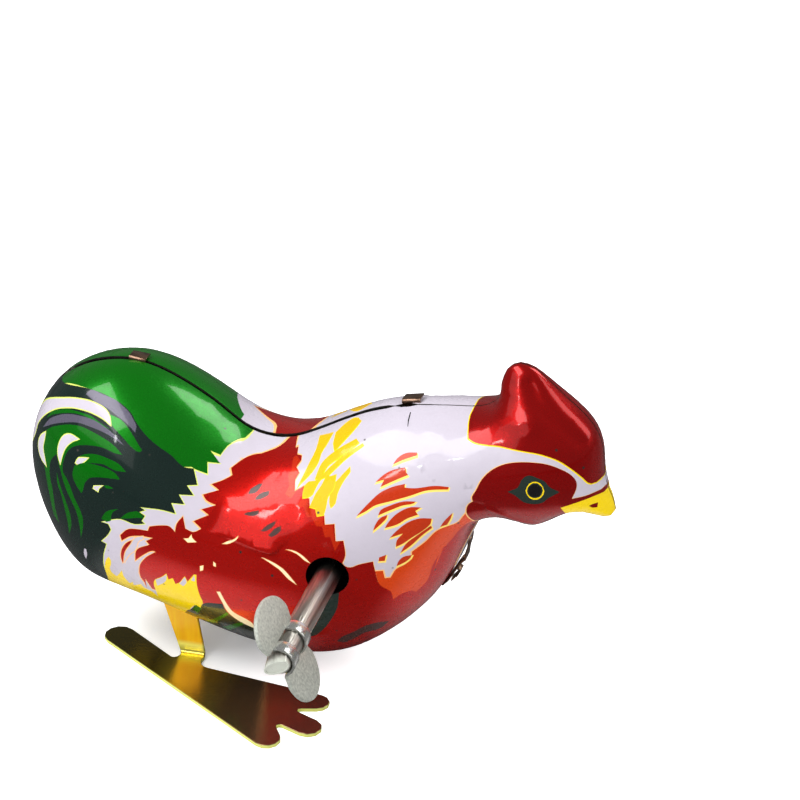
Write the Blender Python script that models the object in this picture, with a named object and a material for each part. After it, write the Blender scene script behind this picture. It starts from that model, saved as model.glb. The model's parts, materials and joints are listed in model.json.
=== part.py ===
"""Wind-up tin rooster that hops on two stamped feet.

The part stands on its soles with +X towards the beak and +Z up. Its origin is at the middle of its
bounding box's base. Sizes below are in millimetres, and a mesh is turned into metres where it is made.
The body is two stamped tin shells that meet at an upright seam. Between them a spring motor in a plate
frame turns a crank, and the crank rocks the axle that carries both feet.
"""

from math import acos, atan2, ceil, cos, hypot, pi, radians, sin, sqrt, tan

import bmesh
import bpy
import numpy as np
from mathutils import Vector
from mathutils.bvhtree import BVHTree
from mathutils.geometry import convex_hull_2d, delaunay_2d_cdt, tessellate_polygon

MM = 0.001
GAP = 0.3                      # clearance between pieces that touch or run on each other
ROUND = 12                     # sides of the small round pieces

# Body shells: how far the tail, beak and comb reach, and where the head starts. Places on the body
# stretch with them. The seam outline is seen from the right side, from the beak over the back and round.
TAIL_REACH = 27.6
BEAK_REACH = 66.7
COMB_TOP = 56.3
HEAD_START = 44.0
BACK_TOP = 48.4
SEAM_POINTS = (
    (66.7, 33.2), (66.2, 35.0), (65.2, 37.4), (64.7, 40.0), (64.3, 44.0), (63.2, 46.8),
    (61.2, 49.2), (58.2, 51.8), (55.2, 54.5), (53.2, 55.9), (51.0, 56.3), (49.3, 55.2),
    (48.4, 52.8), (48.0, 50.0), (45.4, 48.2), (40.0, 47.5), (34.0, 46.7), (28.5, 45.2),
    (24.0, 43.1), (19.3, 40.5), (15.6, 38.8), (11.8, 38.3), (7.6, 39.4), (2.0, 43.4),
    (-3.7, 46.6), (-8.6, 48.3), (-13.4, 48.4), (-18.6, 46.9), (-23.3, 43.6), (-26.3, 38.7),
    (-27.6, 33.2), (-27.2, 27.6), (-25.6, 21.8), (-23.1, 16.2), (-20.4, 12.2), (-16.8, 10.1),
    (-11.2, 9.4), (-5.0, 8.0), (2.0, 5.5), (10.0, 3.1), (18.0, 1.8), (25.4, 3.2),
    (32.0, 7.5), (38.0, 13.6), (42.0, 20.2), (44.2, 25.6), (46.4, 30.0), (49.6, 31.2),
    (54.2, 29.4), (57.8, 31.4), (60.6, 33.0), (64.6, 32.2), (66.7, 33.2),
)
SEAM_STEP = 2.2                # spacing of the points along the seam
RING_DEPTHS = (0.25, 1.1, 2.5)  # rows of points that follow the seam inside it
RING_ROOM = 0.9                # share of its depth that a row's point keeps clear of the seam
FIELD_STEP = 2.7               # spacing of the points over the rest of a shell
FIELD_ROOM = 0.55              # share of that spacing between them and the last row
SHELL_HALF_WIDTH = 18.0        # from the seam to the widest point of a shell
TIN = 0.3
SEAM_GAP = 0.3

# Regions that bulge more or less than the rest: centre x, centre z, radius and change
FULLNESS = (
    (56.0, 54.0, 8.0, -1.15),
    (66.0, 34.0, 4.0, -0.50),
    (54.0, 36.0, 9.0, 0.40),
    (-12.0, 43.0, 12.0, 0.60),
    (25.0, 22.0, 11.0, 0.25),
)

# The wing is a raised pad on each side
WING_POINTS = (
    (7.4, 33.8), (13.6, 36.2), (20.4, 33.0), (23.6, 27.4),
    (18.8, 21.2), (10.0, 20.0), (1.0, 22.6), (1.6, 28.6),
)
WING_RELIEF = 1.1
WING_SLOPE = 2.4

# Seam tabs on the tail, neck and breast, folded over the left shell: x, z and length on the seam
TABS = ((-10.4, 48.4, 3.2), (33.8, 46.6, 3.4), (41.7, 19.9, 3.4))
TAB_ROOT = 0.9                 # how far a tab's root reaches into the right shell's wall
TAB_REACH = 2.0                # how far a tab lies over the left shell
TAB_DROP = 0.25                # how far its end bends down to the left shell

KEY_HOLE_RADIUS = 3.3

# Motor frame
PLATE_SPREAD = 6.9             # from the seam plane to the outer face of each plate
PLATE = 0.7
PLATE_MARGIN = 1.2             # plate left round each pillar and bearing
KEY_AXIS = (25.5, 24.5)
LEG_AXIS = (-3.5, 17.0)
CRANK_AXIS = (4.4, 18.6)
PILLARS = {
    "front_pillar": (38.3, 22.6),
    "top_pillar": (16.3, 34.0),
    "rear_pillar": (-5.0, 27.0),
    "belly_pillar": (13.0, 8.4),
}
PILLAR_RADIUS = 1.3
SPIGOT_RADIUS = 0.8
RIVET_HEIGHT = 0.6
RIVET_HEAD = 0.3               # thickness of the click rivet's head
LUG_RADIUS = 2.0
LUGS = ((21.0, -1), (11.5, 1))  # x of each lug that holds the frame in the shells, and down or up

# Wheelwork
ARBOR_RADIUS = 1.5
FINE_ARBOR_RADIUS = 0.6
PRESSURE_ANGLE = radians(20)
BACKLASH = 0.3
GREAT_TEETH = 36
GREAT_MODULE = 0.6
SECOND_PINION_TEETH = 10
SECOND_TEETH = 30
SECOND_MODULE = 0.5
CRANK_PINION_TEETH = 10
WHEEL_ADDENDUM = 0.65          # tooth heights, in modules
PINION_ADDENDUM = 0.9
ROOT_CLEARANCE = 0.25
WHEEL = 0.7
PINION = 1.0
RATCHET_TEETH = 12
RATCHET_RADIUS = 5.2
RATCHET_DEPTH = 1.2
CLICK_PIVOT_RADIUS = 8.4
CLICK_ANGLE = radians(110)
CLICK_REACH = radians(38)      # angle from the click's pivot back to its nose
CLICK_EYE = 1.2
CLICK_NOSE = 0.35
CLICK_BITE = 0.84              # how far the nose drops below the ratchet's tips

# Mainspring
SPRING_TURNS = 5
SPRING_STRIP = 0.4
SPRING_WIDTH = 4.6
SPRING_OUTER = 9.2
SPRING_STEPS = 20              # points on each turn
SPRING_LEAD = radians(55)      # turn between where the outer coil ends and its post
SPRING_HOOK = (radians(60), radians(-100))  # ends of its hook round the post

# Crank and lever, outside the left plate, which swing the legs from their rest to their kick
CRANK_DISC_RIM = 0.8           # disc left outside the pin's hole
LEG_SWING = radians(30)
LEG_AXLE_RADIUS = 1.0
LEVER = 0.7
LEVER_EYE = 2.6
LEVER_RIM = 1.1                # lever left round its slot

# Key
KEY_TUBE_RADIUS = 1.95
KEY_TUBE_START = -13.0         # where the tube starts along Y, inside the body
KEY_LENGTH = 29.3
KEY_BORE_DEPTH = 6.0
KEY_SQUARE = 0.75              # half the width of the arbor's square end
KEY_BLADE = 0.8
KEY_SPAN = 17.8
KEY_WIDTH = 9.8
BLADE_ROOT = 9.0               # width of a blade where it meets the straps
BLADE_NECK = 1.8               # length of a blade before it rounds off
KEY_MIDDLE = 25.0              # from the tube's start out to the middle of the blades
KEY_TILT = radians(22)
STRAP_WIDTH = 2.6
STRAP_THICKNESS = 0.6
STRAP_LAP = 1.2                # how far a strap runs on into each blade

# Feet, each one stamping with its leg: the sole's points are measured from the middle of the fold
FOOT_PLATE = 0.7
BEND_RADIUS = 0.9
FOOT_TOE_OUT = radians(8)
LEG_FOOT_X = 0.2
LEG_FOLD_WIDTH = 4.0
LEG_EYE = 3.2
HEEL = (-13.6, 0.9)
LEFT_HEEL = (-6.6, -2.6)         # on the same line: no heel shows behind the far leg
HEEL_RADIUS = 2.5
TOES = ((23.9, -4.35, 2.0), (25.5, -11.2, 2.2), (20.9, -16.5, 2.2))
TOE_NOTCHES = ((22.6, -7.6), (21.4, -12.9))
NOTCH_RADIUS = 0.5
FOOT_FILLET = 1.8              # between the leg and the sole's inner edge
BAR_FILLET = 0.9               # between the leg and the heel bar
WASHER_RADIUS = 2.2
WASHER = 0.4
LEG_OPENING = (-10.0, 5.5)     # rear and front of the belly opening for the legs
LEG_OPENING_TOP = 12.0
LEG_ROOM = 0.6                 # from each leg out to the opening's side


def polar(centre, radius, angle):
    """A point at a radius and angle from a centre."""
    return (centre[0] + radius * cos(angle), centre[1] + radius * sin(angle))


def bearing(start, end):
    """The angle of the line from one point to another."""
    return atan2(end[1] - start[1], end[0] - start[0])


def arc(centre, radius, start, end, steps):
    """Points along an arc, both ends included."""
    return [polar(centre, radius, start + (end - start) * step / steps) for step in range(steps + 1)]


def circle(centre, radius, sides=ROUND):
    """Points round a circle."""
    return arc(centre, radius, 0, 2 * pi * (1 - 1 / sides), sides - 1)


def smooth_path(points, step):
    """Evenly spaced points along a smooth curve through the given points."""
    ends = [points[0]] + list(points) + [points[-1]]
    fine = []
    for index in range(len(points) - 1):
        a, b, c, d = (Vector(p) for p in ends[index:index + 4])
        for part in range(12):
            t = part / 12
            bend = 2 * a - 5 * b + 4 * c - d
            twist = 3 * b - a - 3 * c + d
            fine.append(0.5 * (2 * b + (c - a) * t + bend * t ** 2 + twist * t ** 3))
    fine.append(Vector(points[-1]))
    lengths = [0.0]
    for start, end in zip(fine, fine[1:]):
        lengths.append(lengths[-1] + (end - start).length)
    wanted = np.linspace(0, lengths[-1], ceil(lengths[-1] / step) + 1)
    xs = np.interp(wanted, lengths, [p.x for p in fine])
    zs = np.interp(wanted, lengths, [p.y for p in fine])
    return list(zip(xs.tolist(), zs.tolist()))


def material(name, colour, roughness, metallic):
    """A plain Principled material."""
    made = bpy.data.materials.new(name)
    made.use_nodes = True
    shader = made.node_tree.nodes["Principled BSDF"]
    shader.inputs["Base Color"].default_value = (*colour, 1.0)
    shader.inputs["Roughness"].default_value = roughness
    shader.inputs["Metallic"].default_value = metallic
    made.diffuse_color = (*colour, 1.0)
    return made


def pivot(name, axis, toy):
    """An empty on a joint's axis, which runs along Y."""
    empty = bpy.data.objects.new(name, None)
    bpy.context.collection.objects.link(empty)
    empty.location = Vector((axis[0], 0, axis[1])) * MM
    empty.parent = toy
    return empty


def add_object(name, bm, parent, finish=None, sharp=radians(35)):
    """Make an object from a mesh drawn in millimetres in the toy's frame."""
    bmesh.ops.remove_doubles(bm, verts=bm.verts, dist=1e-4)
    bmesh.ops.recalc_face_normals(bm, faces=bm.faces)
    offset = Vector((0, 0, 0)) if parent.parent is None else parent.location
    for vert in bm.verts:
        vert.co = vert.co * MM - offset
    mesh = bpy.data.meshes.new(name)
    bm.to_mesh(mesh)
    bm.free()
    mesh.shade_smooth()
    mesh.set_sharp_from_angle(angle=sharp)
    made = bpy.data.objects.new(name, mesh)
    bpy.context.collection.objects.link(made)
    made.parent = parent
    if finish is None:
        made.hide_render = True
        made.display_type = "WIRE"
    else:
        mesh.materials.append(finish)
    return made


def boolean(target, cutter, operation):
    """Join a helper to an object, or cut it away."""
    modifier = target.modifiers.new(operation.lower(), "BOOLEAN")
    modifier.operation = operation
    modifier.solver = "EXACT"
    modifier.object = cutter


def slab(loops, low, high, place=lambda x, z, y: (x, y, z), bm=None):
    """A flat plate from an outline and its holes, between two depths."""
    bm = bm or bmesh.new()
    points = [point for loop in loops for point in loop]
    faces = tessellate_polygon([[Vector((x, z, 0)) for x, z in loop] for loop in loops])
    sides = [[bm.verts.new(place(x, z, depth)) for x, z in points] for depth in (low, high)]
    for side in sides:
        for face in faces:
            bm.faces.new([side[index] for index in face])
    start = 0
    for loop in loops:
        for index in range(len(loop)):
            one = start + index
            two = start + (index + 1) % len(loop)
            bm.faces.new((sides[0][one], sides[0][two], sides[1][two], sides[1][one]))
        start += len(loop)
    return bm


def lathe(axis, profile, sides=ROUND, phase=0.0, bm=None):
    """A turned solid about a line along Y, from radius and y pairs that start and end on the axis."""
    bm = bm or bmesh.new()
    rings = []
    for radius, y in profile:
        if radius == 0:
            rings.append([bm.verts.new((axis[0], y, axis[1]))] * sides)
            continue
        ring = []
        for side in range(sides):
            x, z = polar(axis, radius, phase + 2 * pi * side / sides)
            ring.append(bm.verts.new((x, y, z)))
        rings.append(ring)
    for one, two in zip(rings, rings[1:]):
        for side in range(sides):
            after = (side + 1) % sides
            corners = list(dict.fromkeys((one[side], one[after], two[after], two[side])))
            if len(corners) > 2:
                bm.faces.new(corners)
    return bm


def rod(axis, radius, low, high, sides=ROUND):
    """A plain round bar along Y."""
    return lathe(axis, ((0, low), (radius, low), (radius, high), (0, high)), sides)


def band(path, thickness, low, high, bm=None):
    """A strip of sheet that stands on edge along an open path."""
    bm = bm or bmesh.new()
    rows = []
    for index, (x, z) in enumerate(path):
        before = path[max(index - 1, 0)]
        after = path[min(index + 1, len(path) - 1)]
        across = bearing(before, after) + pi / 2
        row = []
        for side, y in ((-1, low), (1, low), (1, high), (-1, high)):
            px, pz = polar((x, z), side * thickness / 2, across)
            row.append(bm.verts.new((px, y, pz)))
        rows.append(row)
    for one, two in zip(rows, rows[1:]):
        for corner in range(4):
            after = (corner + 1) % 4
            bm.faces.new((one[corner], one[after], two[after], two[corner]))
    bm.faces.new(rows[0])
    bm.faces.new(rows[-1])
    return bm


def distance_to(loop, points):
    """Distance from each point to the nearest edge of a closed loop."""
    starts = np.array(loop)
    runs = np.roll(starts, -1, axis=0) - starts
    rel = points[:, None, :] - starts[None]
    share = np.clip((rel * runs).sum(2) / (runs ** 2).sum(1), 0, 1)
    return np.sqrt(((rel - share[..., None] * runs) ** 2).sum(2)).min(1)


def is_inside(loop, points):
    """Which points lie inside a closed loop."""
    inside = np.zeros(len(points), bool)
    for (x0, z0), (x1, z1) in zip(loop, loop[1:] + loop[:1]):
        spans = (points[:, 1] < z0) != (points[:, 1] < z1)
        cross = x0 + (points[:, 1] - z0) * (x1 - x0) / (z1 - z0 if z1 != z0 else 1)
        inside ^= spans & (points[:, 0] < cross)
    return inside


def on_body(points):
    """Places on the body as drawn, stretched to the reach of its tail, beak and comb."""
    xs, zs = zip(*SEAM_POINTS)
    placed = []
    for x, z in (point[:2] for point in points):
        if x < 0:
            x *= TAIL_REACH / -min(xs)
        if x > HEAD_START:
            x = HEAD_START + (x - HEAD_START) * (BEAK_REACH - HEAD_START) / (max(xs) - HEAD_START)
        if z > BACK_TOP:
            z = BACK_TOP + (z - BACK_TOP) * (COMB_TOP - BACK_TOP) / (max(zs) - BACK_TOP)
        placed.append((x, z))
    return placed


def shell_layout():
    """Points and triangles of one shell, seen flat from the side, with the seam's points first."""
    seam = smooth_path(on_body(SEAM_POINTS), SEAM_STEP)[:-1]
    loop = np.array(seam)
    tangent = np.roll(loop, -1, axis=0) - np.roll(loop, 1, axis=0)
    inward = np.stack([-tangent[:, 1], tangent[:, 0]], 1)
    inward /= np.linalg.norm(inward, axis=1)[:, None]
    points = [loop]
    for depth in RING_DEPTHS:
        ring = loop + inward * depth
        keep = is_inside(seam, ring) & (distance_to(seam, ring) > RING_ROOM * depth)
        points.append(ring[keep])
    low = loop.min(0)
    high = loop.max(0)
    rows = np.arange(low[1], high[1], FIELD_STEP * sqrt(3) / 2)
    grid = []
    for number, z in enumerate(rows):
        shift = FIELD_STEP / 2 * (number % 2)
        grid += [(x + shift, z) for x in np.arange(low[0], high[0], FIELD_STEP)]
    grid = np.array(grid)
    room = RING_DEPTHS[-1] + FIELD_ROOM * FIELD_STEP
    keep = is_inside(seam, grid) & (distance_to(seam, grid) > room)
    points.append(grid[keep])
    flat = [Vector(point) for point in np.concatenate(points).tolist()]
    made = delaunay_2d_cdt(flat, [], [list(range(len(seam)))], 1, 1e-5)
    return np.array([tuple(point) for point in made[0]]), np.array(made[2]), len(seam)


def shell_bulge(points, faces, seam_count):
    """Depth of the shell over each point: the root of a loaded membrane's sag, which rounds every edge."""
    count = len(points)
    stiffness = np.zeros((count, count))
    load = np.zeros(count)
    corners = points[faces]
    edges = np.roll(corners, -1, axis=1) - np.roll(corners, -2, axis=1)
    area = 0.5 * np.abs(edges[:, 0, 0] * edges[:, 1, 1] - edges[:, 0, 1] * edges[:, 1, 0])
    middle = corners.mean(1)
    press = np.ones(len(faces))
    for centre, (_, _, radius, change) in zip(on_body(FULLNESS), FULLNESS):
        far = ((middle - centre) ** 2).sum(1)
        press += change * np.exp(-far / radius ** 2)
    for one in range(3):
        np.add.at(load, faces[:, one], press * area / 3)
        for two in range(3):
            share = (edges[:, one] * edges[:, two]).sum(1) / (4 * area)
            np.add.at(stiffness, (faces[:, one], faces[:, two]), share)
    free = np.arange(seam_count, count)
    sag = np.zeros(count)
    sag[free] = np.linalg.solve(stiffness[np.ix_(free, free)], load[free])
    depth = np.sqrt(np.maximum(sag, 0))
    depth *= (SHELL_HALF_WIDTH - SEAM_GAP / 2) / depth.max()
    wing = on_body(WING_POINTS)
    rise = np.clip(distance_to(wing, points) / WING_SLOPE, 0, 1) * is_inside(wing, points)
    return depth + WING_RELIEF * rise * rise * (3 - 2 * rise)


def shell_object(name, side, layout, depth, toy, finish):
    """One half of the body, with side -1 for the right shell and 1 for the left."""
    points, faces, _ = layout
    bm = bmesh.new()
    verts = []
    for (x, z), bulge in zip(points.tolist(), depth.tolist()):
        verts.append(bm.verts.new((x, side * (SEAM_GAP / 2 + bulge), z)))
    for face in faces.tolist():
        bm.faces.new([verts[index] for index in face])
    shell = add_object(name, bm, toy, finish, sharp=radians(60))
    outward = sum(polygon.normal.y * polygon.area for polygon in shell.data.polygons)
    if outward * side < 0:
        shell.data.flip_normals()
    wall = shell.modifiers.new("wall", "SOLIDIFY")
    wall.thickness = TIN * MM
    wall.offset = -1
    wall.use_even_offset = True
    return shell


def tab_helpers(toy):
    """The seam tabs, each a strip that rises from the right shell's edge and lies over the left one."""
    seam = smooth_path(on_body(SEAM_POINTS), SEAM_STEP)
    bm = bmesh.new()
    for (x, z), (_, _, length) in zip(on_body(TABS), TABS):
        far = [hypot(point[0] - x, point[1] - z) for point in seam]
        near = far.index(min(far))
        along = Vector(seam[near + 1]) - Vector(seam[near - 1])
        along.normalize()
        out = Vector((along.y, -along.x))
        if out.dot(Vector((x, z)) - Vector(KEY_AXIS)) < 0:
            out = -out
        start = Vector(seam[near])
        profile = (
            (-TAB_ROOT, -TIN / 2), (-SEAM_GAP, -TIN / 2), (-SEAM_GAP, GAP),
            (TAB_REACH, GAP - TAB_DROP), (TAB_REACH, GAP + TIN - TAB_DROP),
            (-SEAM_GAP, GAP + TIN), (-TAB_ROOT, GAP),
        )

        def place(y, rise, run, start=start, along=along, out=out):
            spot = start + out * rise + along * run
            return (spot.x, y, spot.y)

        slab([profile], -length / 2, length / 2, place, bm)
    return add_object("tab_helper", bm, toy)


def wall_height(shell_tree, x, y, direction):
    """Height where the shell's inner wall stands over or under a place inside it."""
    tree, middle = shell_tree
    hit, normal, _, _ = tree.ray_cast(Vector((x, y, middle)), Vector((0, 0, direction)))
    return hit.z - direction * (TIN / abs(normal.z) + GAP)


def involute(angle):
    return tan(angle) - angle


def gear_outline(axis, teeth, module, addendum, dedendum, phase):
    """Tooth outline with involute flanks, and a tooth's middle at the phase angle."""
    pitch = teeth * module / 2
    base = pitch * cos(PRESSURE_ANGLE)
    root = pitch - dedendum * module
    tip = pitch + addendum * module
    half = pi / (2 * teeth) - BACKLASH / (4 * pitch)
    half_at = {}
    for radius in (root, pitch, tip):
        slope = acos(base / max(radius, base))
        half_at[radius] = half + involute(PRESSURE_ANGLE) - involute(slope)
    outline = []
    for tooth in range(teeth):
        middle = phase + 2 * pi * tooth / teeth
        for radius in (root, pitch, tip):
            outline.append(polar(axis, radius, middle - half_at[radius]))
        for radius in (tip, pitch, root):
            outline.append(polar(axis, radius, middle + half_at[radius]))
    return outline


def second_axis():
    """Where the second arbor meshes with both the great wheel and the crank pinion."""
    first = (GREAT_TEETH + SECOND_PINION_TEETH) * GREAT_MODULE / 2
    last = (SECOND_TEETH + CRANK_PINION_TEETH) * SECOND_MODULE / 2
    apart = hypot(KEY_AXIS[0] - CRANK_AXIS[0], KEY_AXIS[1] - CRANK_AXIS[1])
    swing = acos((first ** 2 + apart ** 2 - last ** 2) / (2 * first * apart))
    return polar(KEY_AXIS, first, bearing(KEY_AXIS, CRANK_AXIS) - swing)


def frame_plate(name, side, toy, finish, lugs):
    """A motor plate: the hull of a disc round every pillar, bearing and lug, with their holes."""
    bearings = {
        KEY_AXIS: ARBOR_RADIUS,
        LEG_AXIS: LEG_AXLE_RADIUS,
        CRANK_AXIS: FINE_ARBOR_RADIUS,
        second_axis(): FINE_ARBOR_RADIUS,
    }
    bearings.update({centre: SPIGOT_RADIUS for centre in PILLARS.values()})
    cloud = []
    for centre, radius in bearings.items():
        cloud += circle(centre, radius + PLATE_MARGIN)
    for centre in lugs:
        cloud += circle(centre, LUG_RADIUS)
    outline = [cloud[index] for index in convex_hull_2d([Vector(point) for point in cloud])]
    holes = [circle(centre, radius + GAP) for centre, radius in bearings.items()]
    ends = sorted((side * PLATE_SPREAD, side * (PLATE_SPREAD - PLATE)))
    return add_object(name, slab([outline] + holes, *ends), toy, finish)


def pillar(name, axis, toy, finish):
    """A spacer between the plates, with a spigot and a riveted head at each end."""
    shoulder = PLATE_SPREAD - PLATE - GAP
    head = PLATE_SPREAD + GAP
    half = ((0, head + RIVET_HEIGHT), (SPIGOT_RADIUS, head + RIVET_HEIGHT), (PILLAR_RADIUS, head),
            (SPIGOT_RADIUS, head), (SPIGOT_RADIUS, shoulder), (PILLAR_RADIUS, shoulder))
    profile = [(radius, -y) for radius, y in half] + list(reversed(half))
    return add_object(name, lathe(axis, profile, 10), toy, finish)


def touch_angle(one, radius_one, two, radius_two, side):
    """Where, on the first circle, the line that crosses over to the second one leaves it."""
    apart = hypot(two[0] - one[0], two[1] - one[1])
    return bearing(one, two) + side * acos((radius_one + radius_two) / apart)


def foot_blank(heel):
    """Flat outline of a foot and its leg: x forward, and t from the fold, below 0 in the sole."""
    fold = LEG_FOLD_WIDTH / 2
    x, t, radius = TOES[0]
    inner = t + radius
    sole = arc((fold + FOOT_FILLET, inner + FOOT_FILLET), FOOT_FILLET, pi, 3 * pi / 2, 4)
    begin = pi / 2
    for toe, after, notch in zip(TOES, TOES[1:], TOE_NOTCHES):
        leave = touch_angle(toe[:2], toe[2], notch, NOTCH_RADIUS, 1)
        sole += arc(toe[:2], toe[2], begin, leave, 5)
        begin = touch_angle(after[:2], after[2], notch, NOTCH_RADIUS, -1)
        sole += arc(notch, NOTCH_RADIUS, leave + pi, begin + pi, 3)
    x, t, radius = TOES[-1]
    heel_line = bearing(heel, (x, t))
    sole += arc((x, t), radius, begin, heel_line - pi / 2, 5)
    sole += arc(heel, HEEL_RADIUS, heel_line - pi / 2, heel_line - 3 * pi / 2, 6)
    bar = polar(heel, HEEL_RADIUS, heel_line + pi / 2)
    crook = (-fold - BAR_FILLET, bar[1] + (-fold - BAR_FILLET - bar[0]) * tan(heel_line) + BAR_FILLET)
    sole += arc(crook, BAR_FILLET, -pi / 2, 0, 3)
    turned = [polar((0, 0), hypot(x, t), atan2(t, x) - FOOT_TOE_OUT) for x, t in sole]
    rise = LEG_AXIS[1] - BEND_RADIUS - FOOT_PLATE / 2 + pi / 2 * BEND_RADIUS
    eye = (LEG_AXIS[0] - LEG_FOOT_X, rise)
    top = arc(eye, LEG_EYE, radians(188), radians(-10), 8)
    outline = [(-fold, 0.0)] + top + [(fold, 0.0)] + turned
    return [outline, circle(eye, LEG_AXLE_RADIUS + GAP)]


def foot(name, side, parent, finish):
    """A stamped foot whose leg alone is bent up at the fold, with side -1 for the right foot."""
    inner_face = PLATE_SPREAD + GAP
    fold_y = inner_face + BEND_RADIUS + FOOT_PLATE / 2
    quarter = pi / 2 * BEND_RADIUS
    blank = foot_blank(HEEL if side < 0 else LEFT_HEEL)
    bm = slab(blank, 0, FOOT_PLATE, lambda x, t, w: (x, t, w))
    for line in range(5):
        cut = (0, quarter * line / 4 + 1e-4, 0)
        everything = bm.verts[:] + bm.edges[:] + bm.faces[:]
        bmesh.ops.bisect_plane(bm, geom=everything, plane_co=cut, plane_no=(0, 1, 0))
    bmesh.ops.triangulate(bm, faces=bm.faces)
    for vert in bm.verts:
        x, t, w = vert.co
        in_heel = x < -LEG_FOLD_WIDTH / 2 - BAR_FILLET and t < 3 * HEEL_RADIUS
        bent = 0 if in_heel else max(t, 0)
        turn = min(bent / BEND_RADIUS, pi / 2)
        reach = BEND_RADIUS + FOOT_PLATE / 2 - w
        across = t - bent + reach * sin(turn)
        height = BEND_RADIUS + FOOT_PLATE / 2 - reach * cos(turn) + max(bent - quarter, 0)
        vert.co = (x + LEG_FOOT_X, side * (fold_y - across), height)
    return add_object(name, bm, parent, finish)


def wheel(name, axis, outline, bore, low, high, parent, finish):
    """A flat wheel with a bore at its axis."""
    return add_object(name, slab([outline, circle(axis, bore)], low, high), parent, finish)


def ratchet_outline(phase):
    """Saw teeth that let the click slip one way and catch it the other way."""
    outline = []
    for tooth in range(RATCHET_TEETH):
        angle = phase + 2 * pi * tooth / RATCHET_TEETH
        outline.append(polar(KEY_AXIS, RATCHET_RADIUS, angle))
        outline.append(polar(KEY_AXIS, RATCHET_RADIUS - RATCHET_DEPTH, angle + 0.01))
    return outline


def click_outline(centre):
    """The click: an eye on its rivet and a nose that rests between two ratchet teeth."""
    rest = RATCHET_RADIUS - CLICK_BITE + GAP + CLICK_NOSE
    nose = polar(KEY_AXIS, rest, CLICK_ANGLE - CLICK_REACH)
    along = bearing(centre, nose)
    eye = arc(centre, CLICK_EYE, along + radians(60), along + radians(300), 9)
    return eye + arc(nose, CLICK_NOSE, along - pi / 2, along + pi / 2, 4)


def click_layer():
    """Where along Y the click and its ratchet lie, over the great wheel."""
    low = -PLATE_SPREAD + PLATE + GAP + WHEEL + GAP
    return low, low + WHEEL


def mainspring(toy, finish):
    """A spiral of strip from the arbor out to the top pillar, where its last coil is anchored."""
    post = PILLARS["top_pillar"]
    leave = bearing(KEY_AXIS, post) + SPRING_LEAD
    inner = ARBOR_RADIUS + GAP + SPRING_STRIP / 2
    steps = SPRING_TURNS * SPRING_STEPS
    path = []
    for step in range(steps + 1):
        share = step / steps
        angle = leave + 2 * pi * SPRING_TURNS * (1 - share)
        path.append(polar(KEY_AXIS, inner + (SPRING_OUTER - inner) * share, angle))
    hold = PILLAR_RADIUS + GAP + SPRING_STRIP / 2
    toward = bearing(post, KEY_AXIS)
    path += arc(post, hold, toward + SPRING_HOOK[0], toward + SPRING_HOOK[1], 6)
    low = click_layer()[1] + GAP + RIVET_HEAD + GAP
    return add_object("mainspring", band(path, SPRING_STRIP, low, low + SPRING_WIDTH), toy, finish)


def key_frame(out, y, rise):
    """Turn a place on the key to the toy's frame: out along the blades, y along the tube, rise off them."""
    along = KEY_TILT + pi / 2
    x = KEY_AXIS[0] + out * cos(along) + rise * sin(along)
    z = KEY_AXIS[1] + out * sin(along) - rise * cos(along)
    return (x, y, z)


def key_blade(parent, finish):
    """The butterfly plate of the key: two blades joined by straps that pass the tube on either side."""
    middle = KEY_TUBE_RADIUS + GAP + STRAP_THICKNESS / 2
    centre = KEY_TUBE_START - KEY_MIDDLE
    swell = KEY_SPAN / 2 - middle - BLADE_NECK
    blades = bmesh.new()
    for side in (-1, 1):
        edge = [(side * middle, centre + BLADE_ROOT / 2), (side * middle, centre - BLADE_ROOT / 2)]
        for x, y in arc((0, 0), 1, -pi / 2, pi / 2, 12):
            edge.append((side * (middle + BLADE_NECK + swell * x), centre + KEY_WIDTH / 2 * y))
        slab([edge], -KEY_BLADE / 2, KEY_BLADE / 2, key_frame, blades)
    plate = add_object("key_blade", blades, parent, finish)
    straps = bmesh.new()
    lap = middle + STRAP_LAP
    for number in (-1, 0, 1):
        face = 1 if number else -1
        loop = [(x, face * y) for x, y in arc((0, 0), middle, pi, 0, 10)]
        start = centre + number * (STRAP_WIDTH + GAP) - STRAP_WIDTH / 2
        band([(-lap, 0)] + loop + [(lap, 0)], STRAP_THICKNESS, start, start + STRAP_WIDTH, straps)
    for vert in straps.verts:
        out, y, rise = vert.co
        vert.co = key_frame(out, y, rise)
    boolean(plate, add_object("strap_helper", straps, parent), "UNION")
    return plate


def add_frame(toy, finishes, shell_tree):
    """The two motor plates, the pillars that hold them apart and the mainspring on its post."""
    lugs = []
    for x, direction in LUGS:
        reach = wall_height(shell_tree, x, -PLATE_SPREAD, direction)
        lugs.append((x, reach - direction * LUG_RADIUS))
    frame_plate("frame_plate_right", -1, toy, finishes["steel"], lugs)
    frame_plate("frame_plate_left", 1, toy, finishes["steel"], lugs)
    for name, axis in PILLARS.items():
        pillar(name, axis, toy, finishes["steel"])
    mainspring(toy, finishes["dark"])


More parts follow.
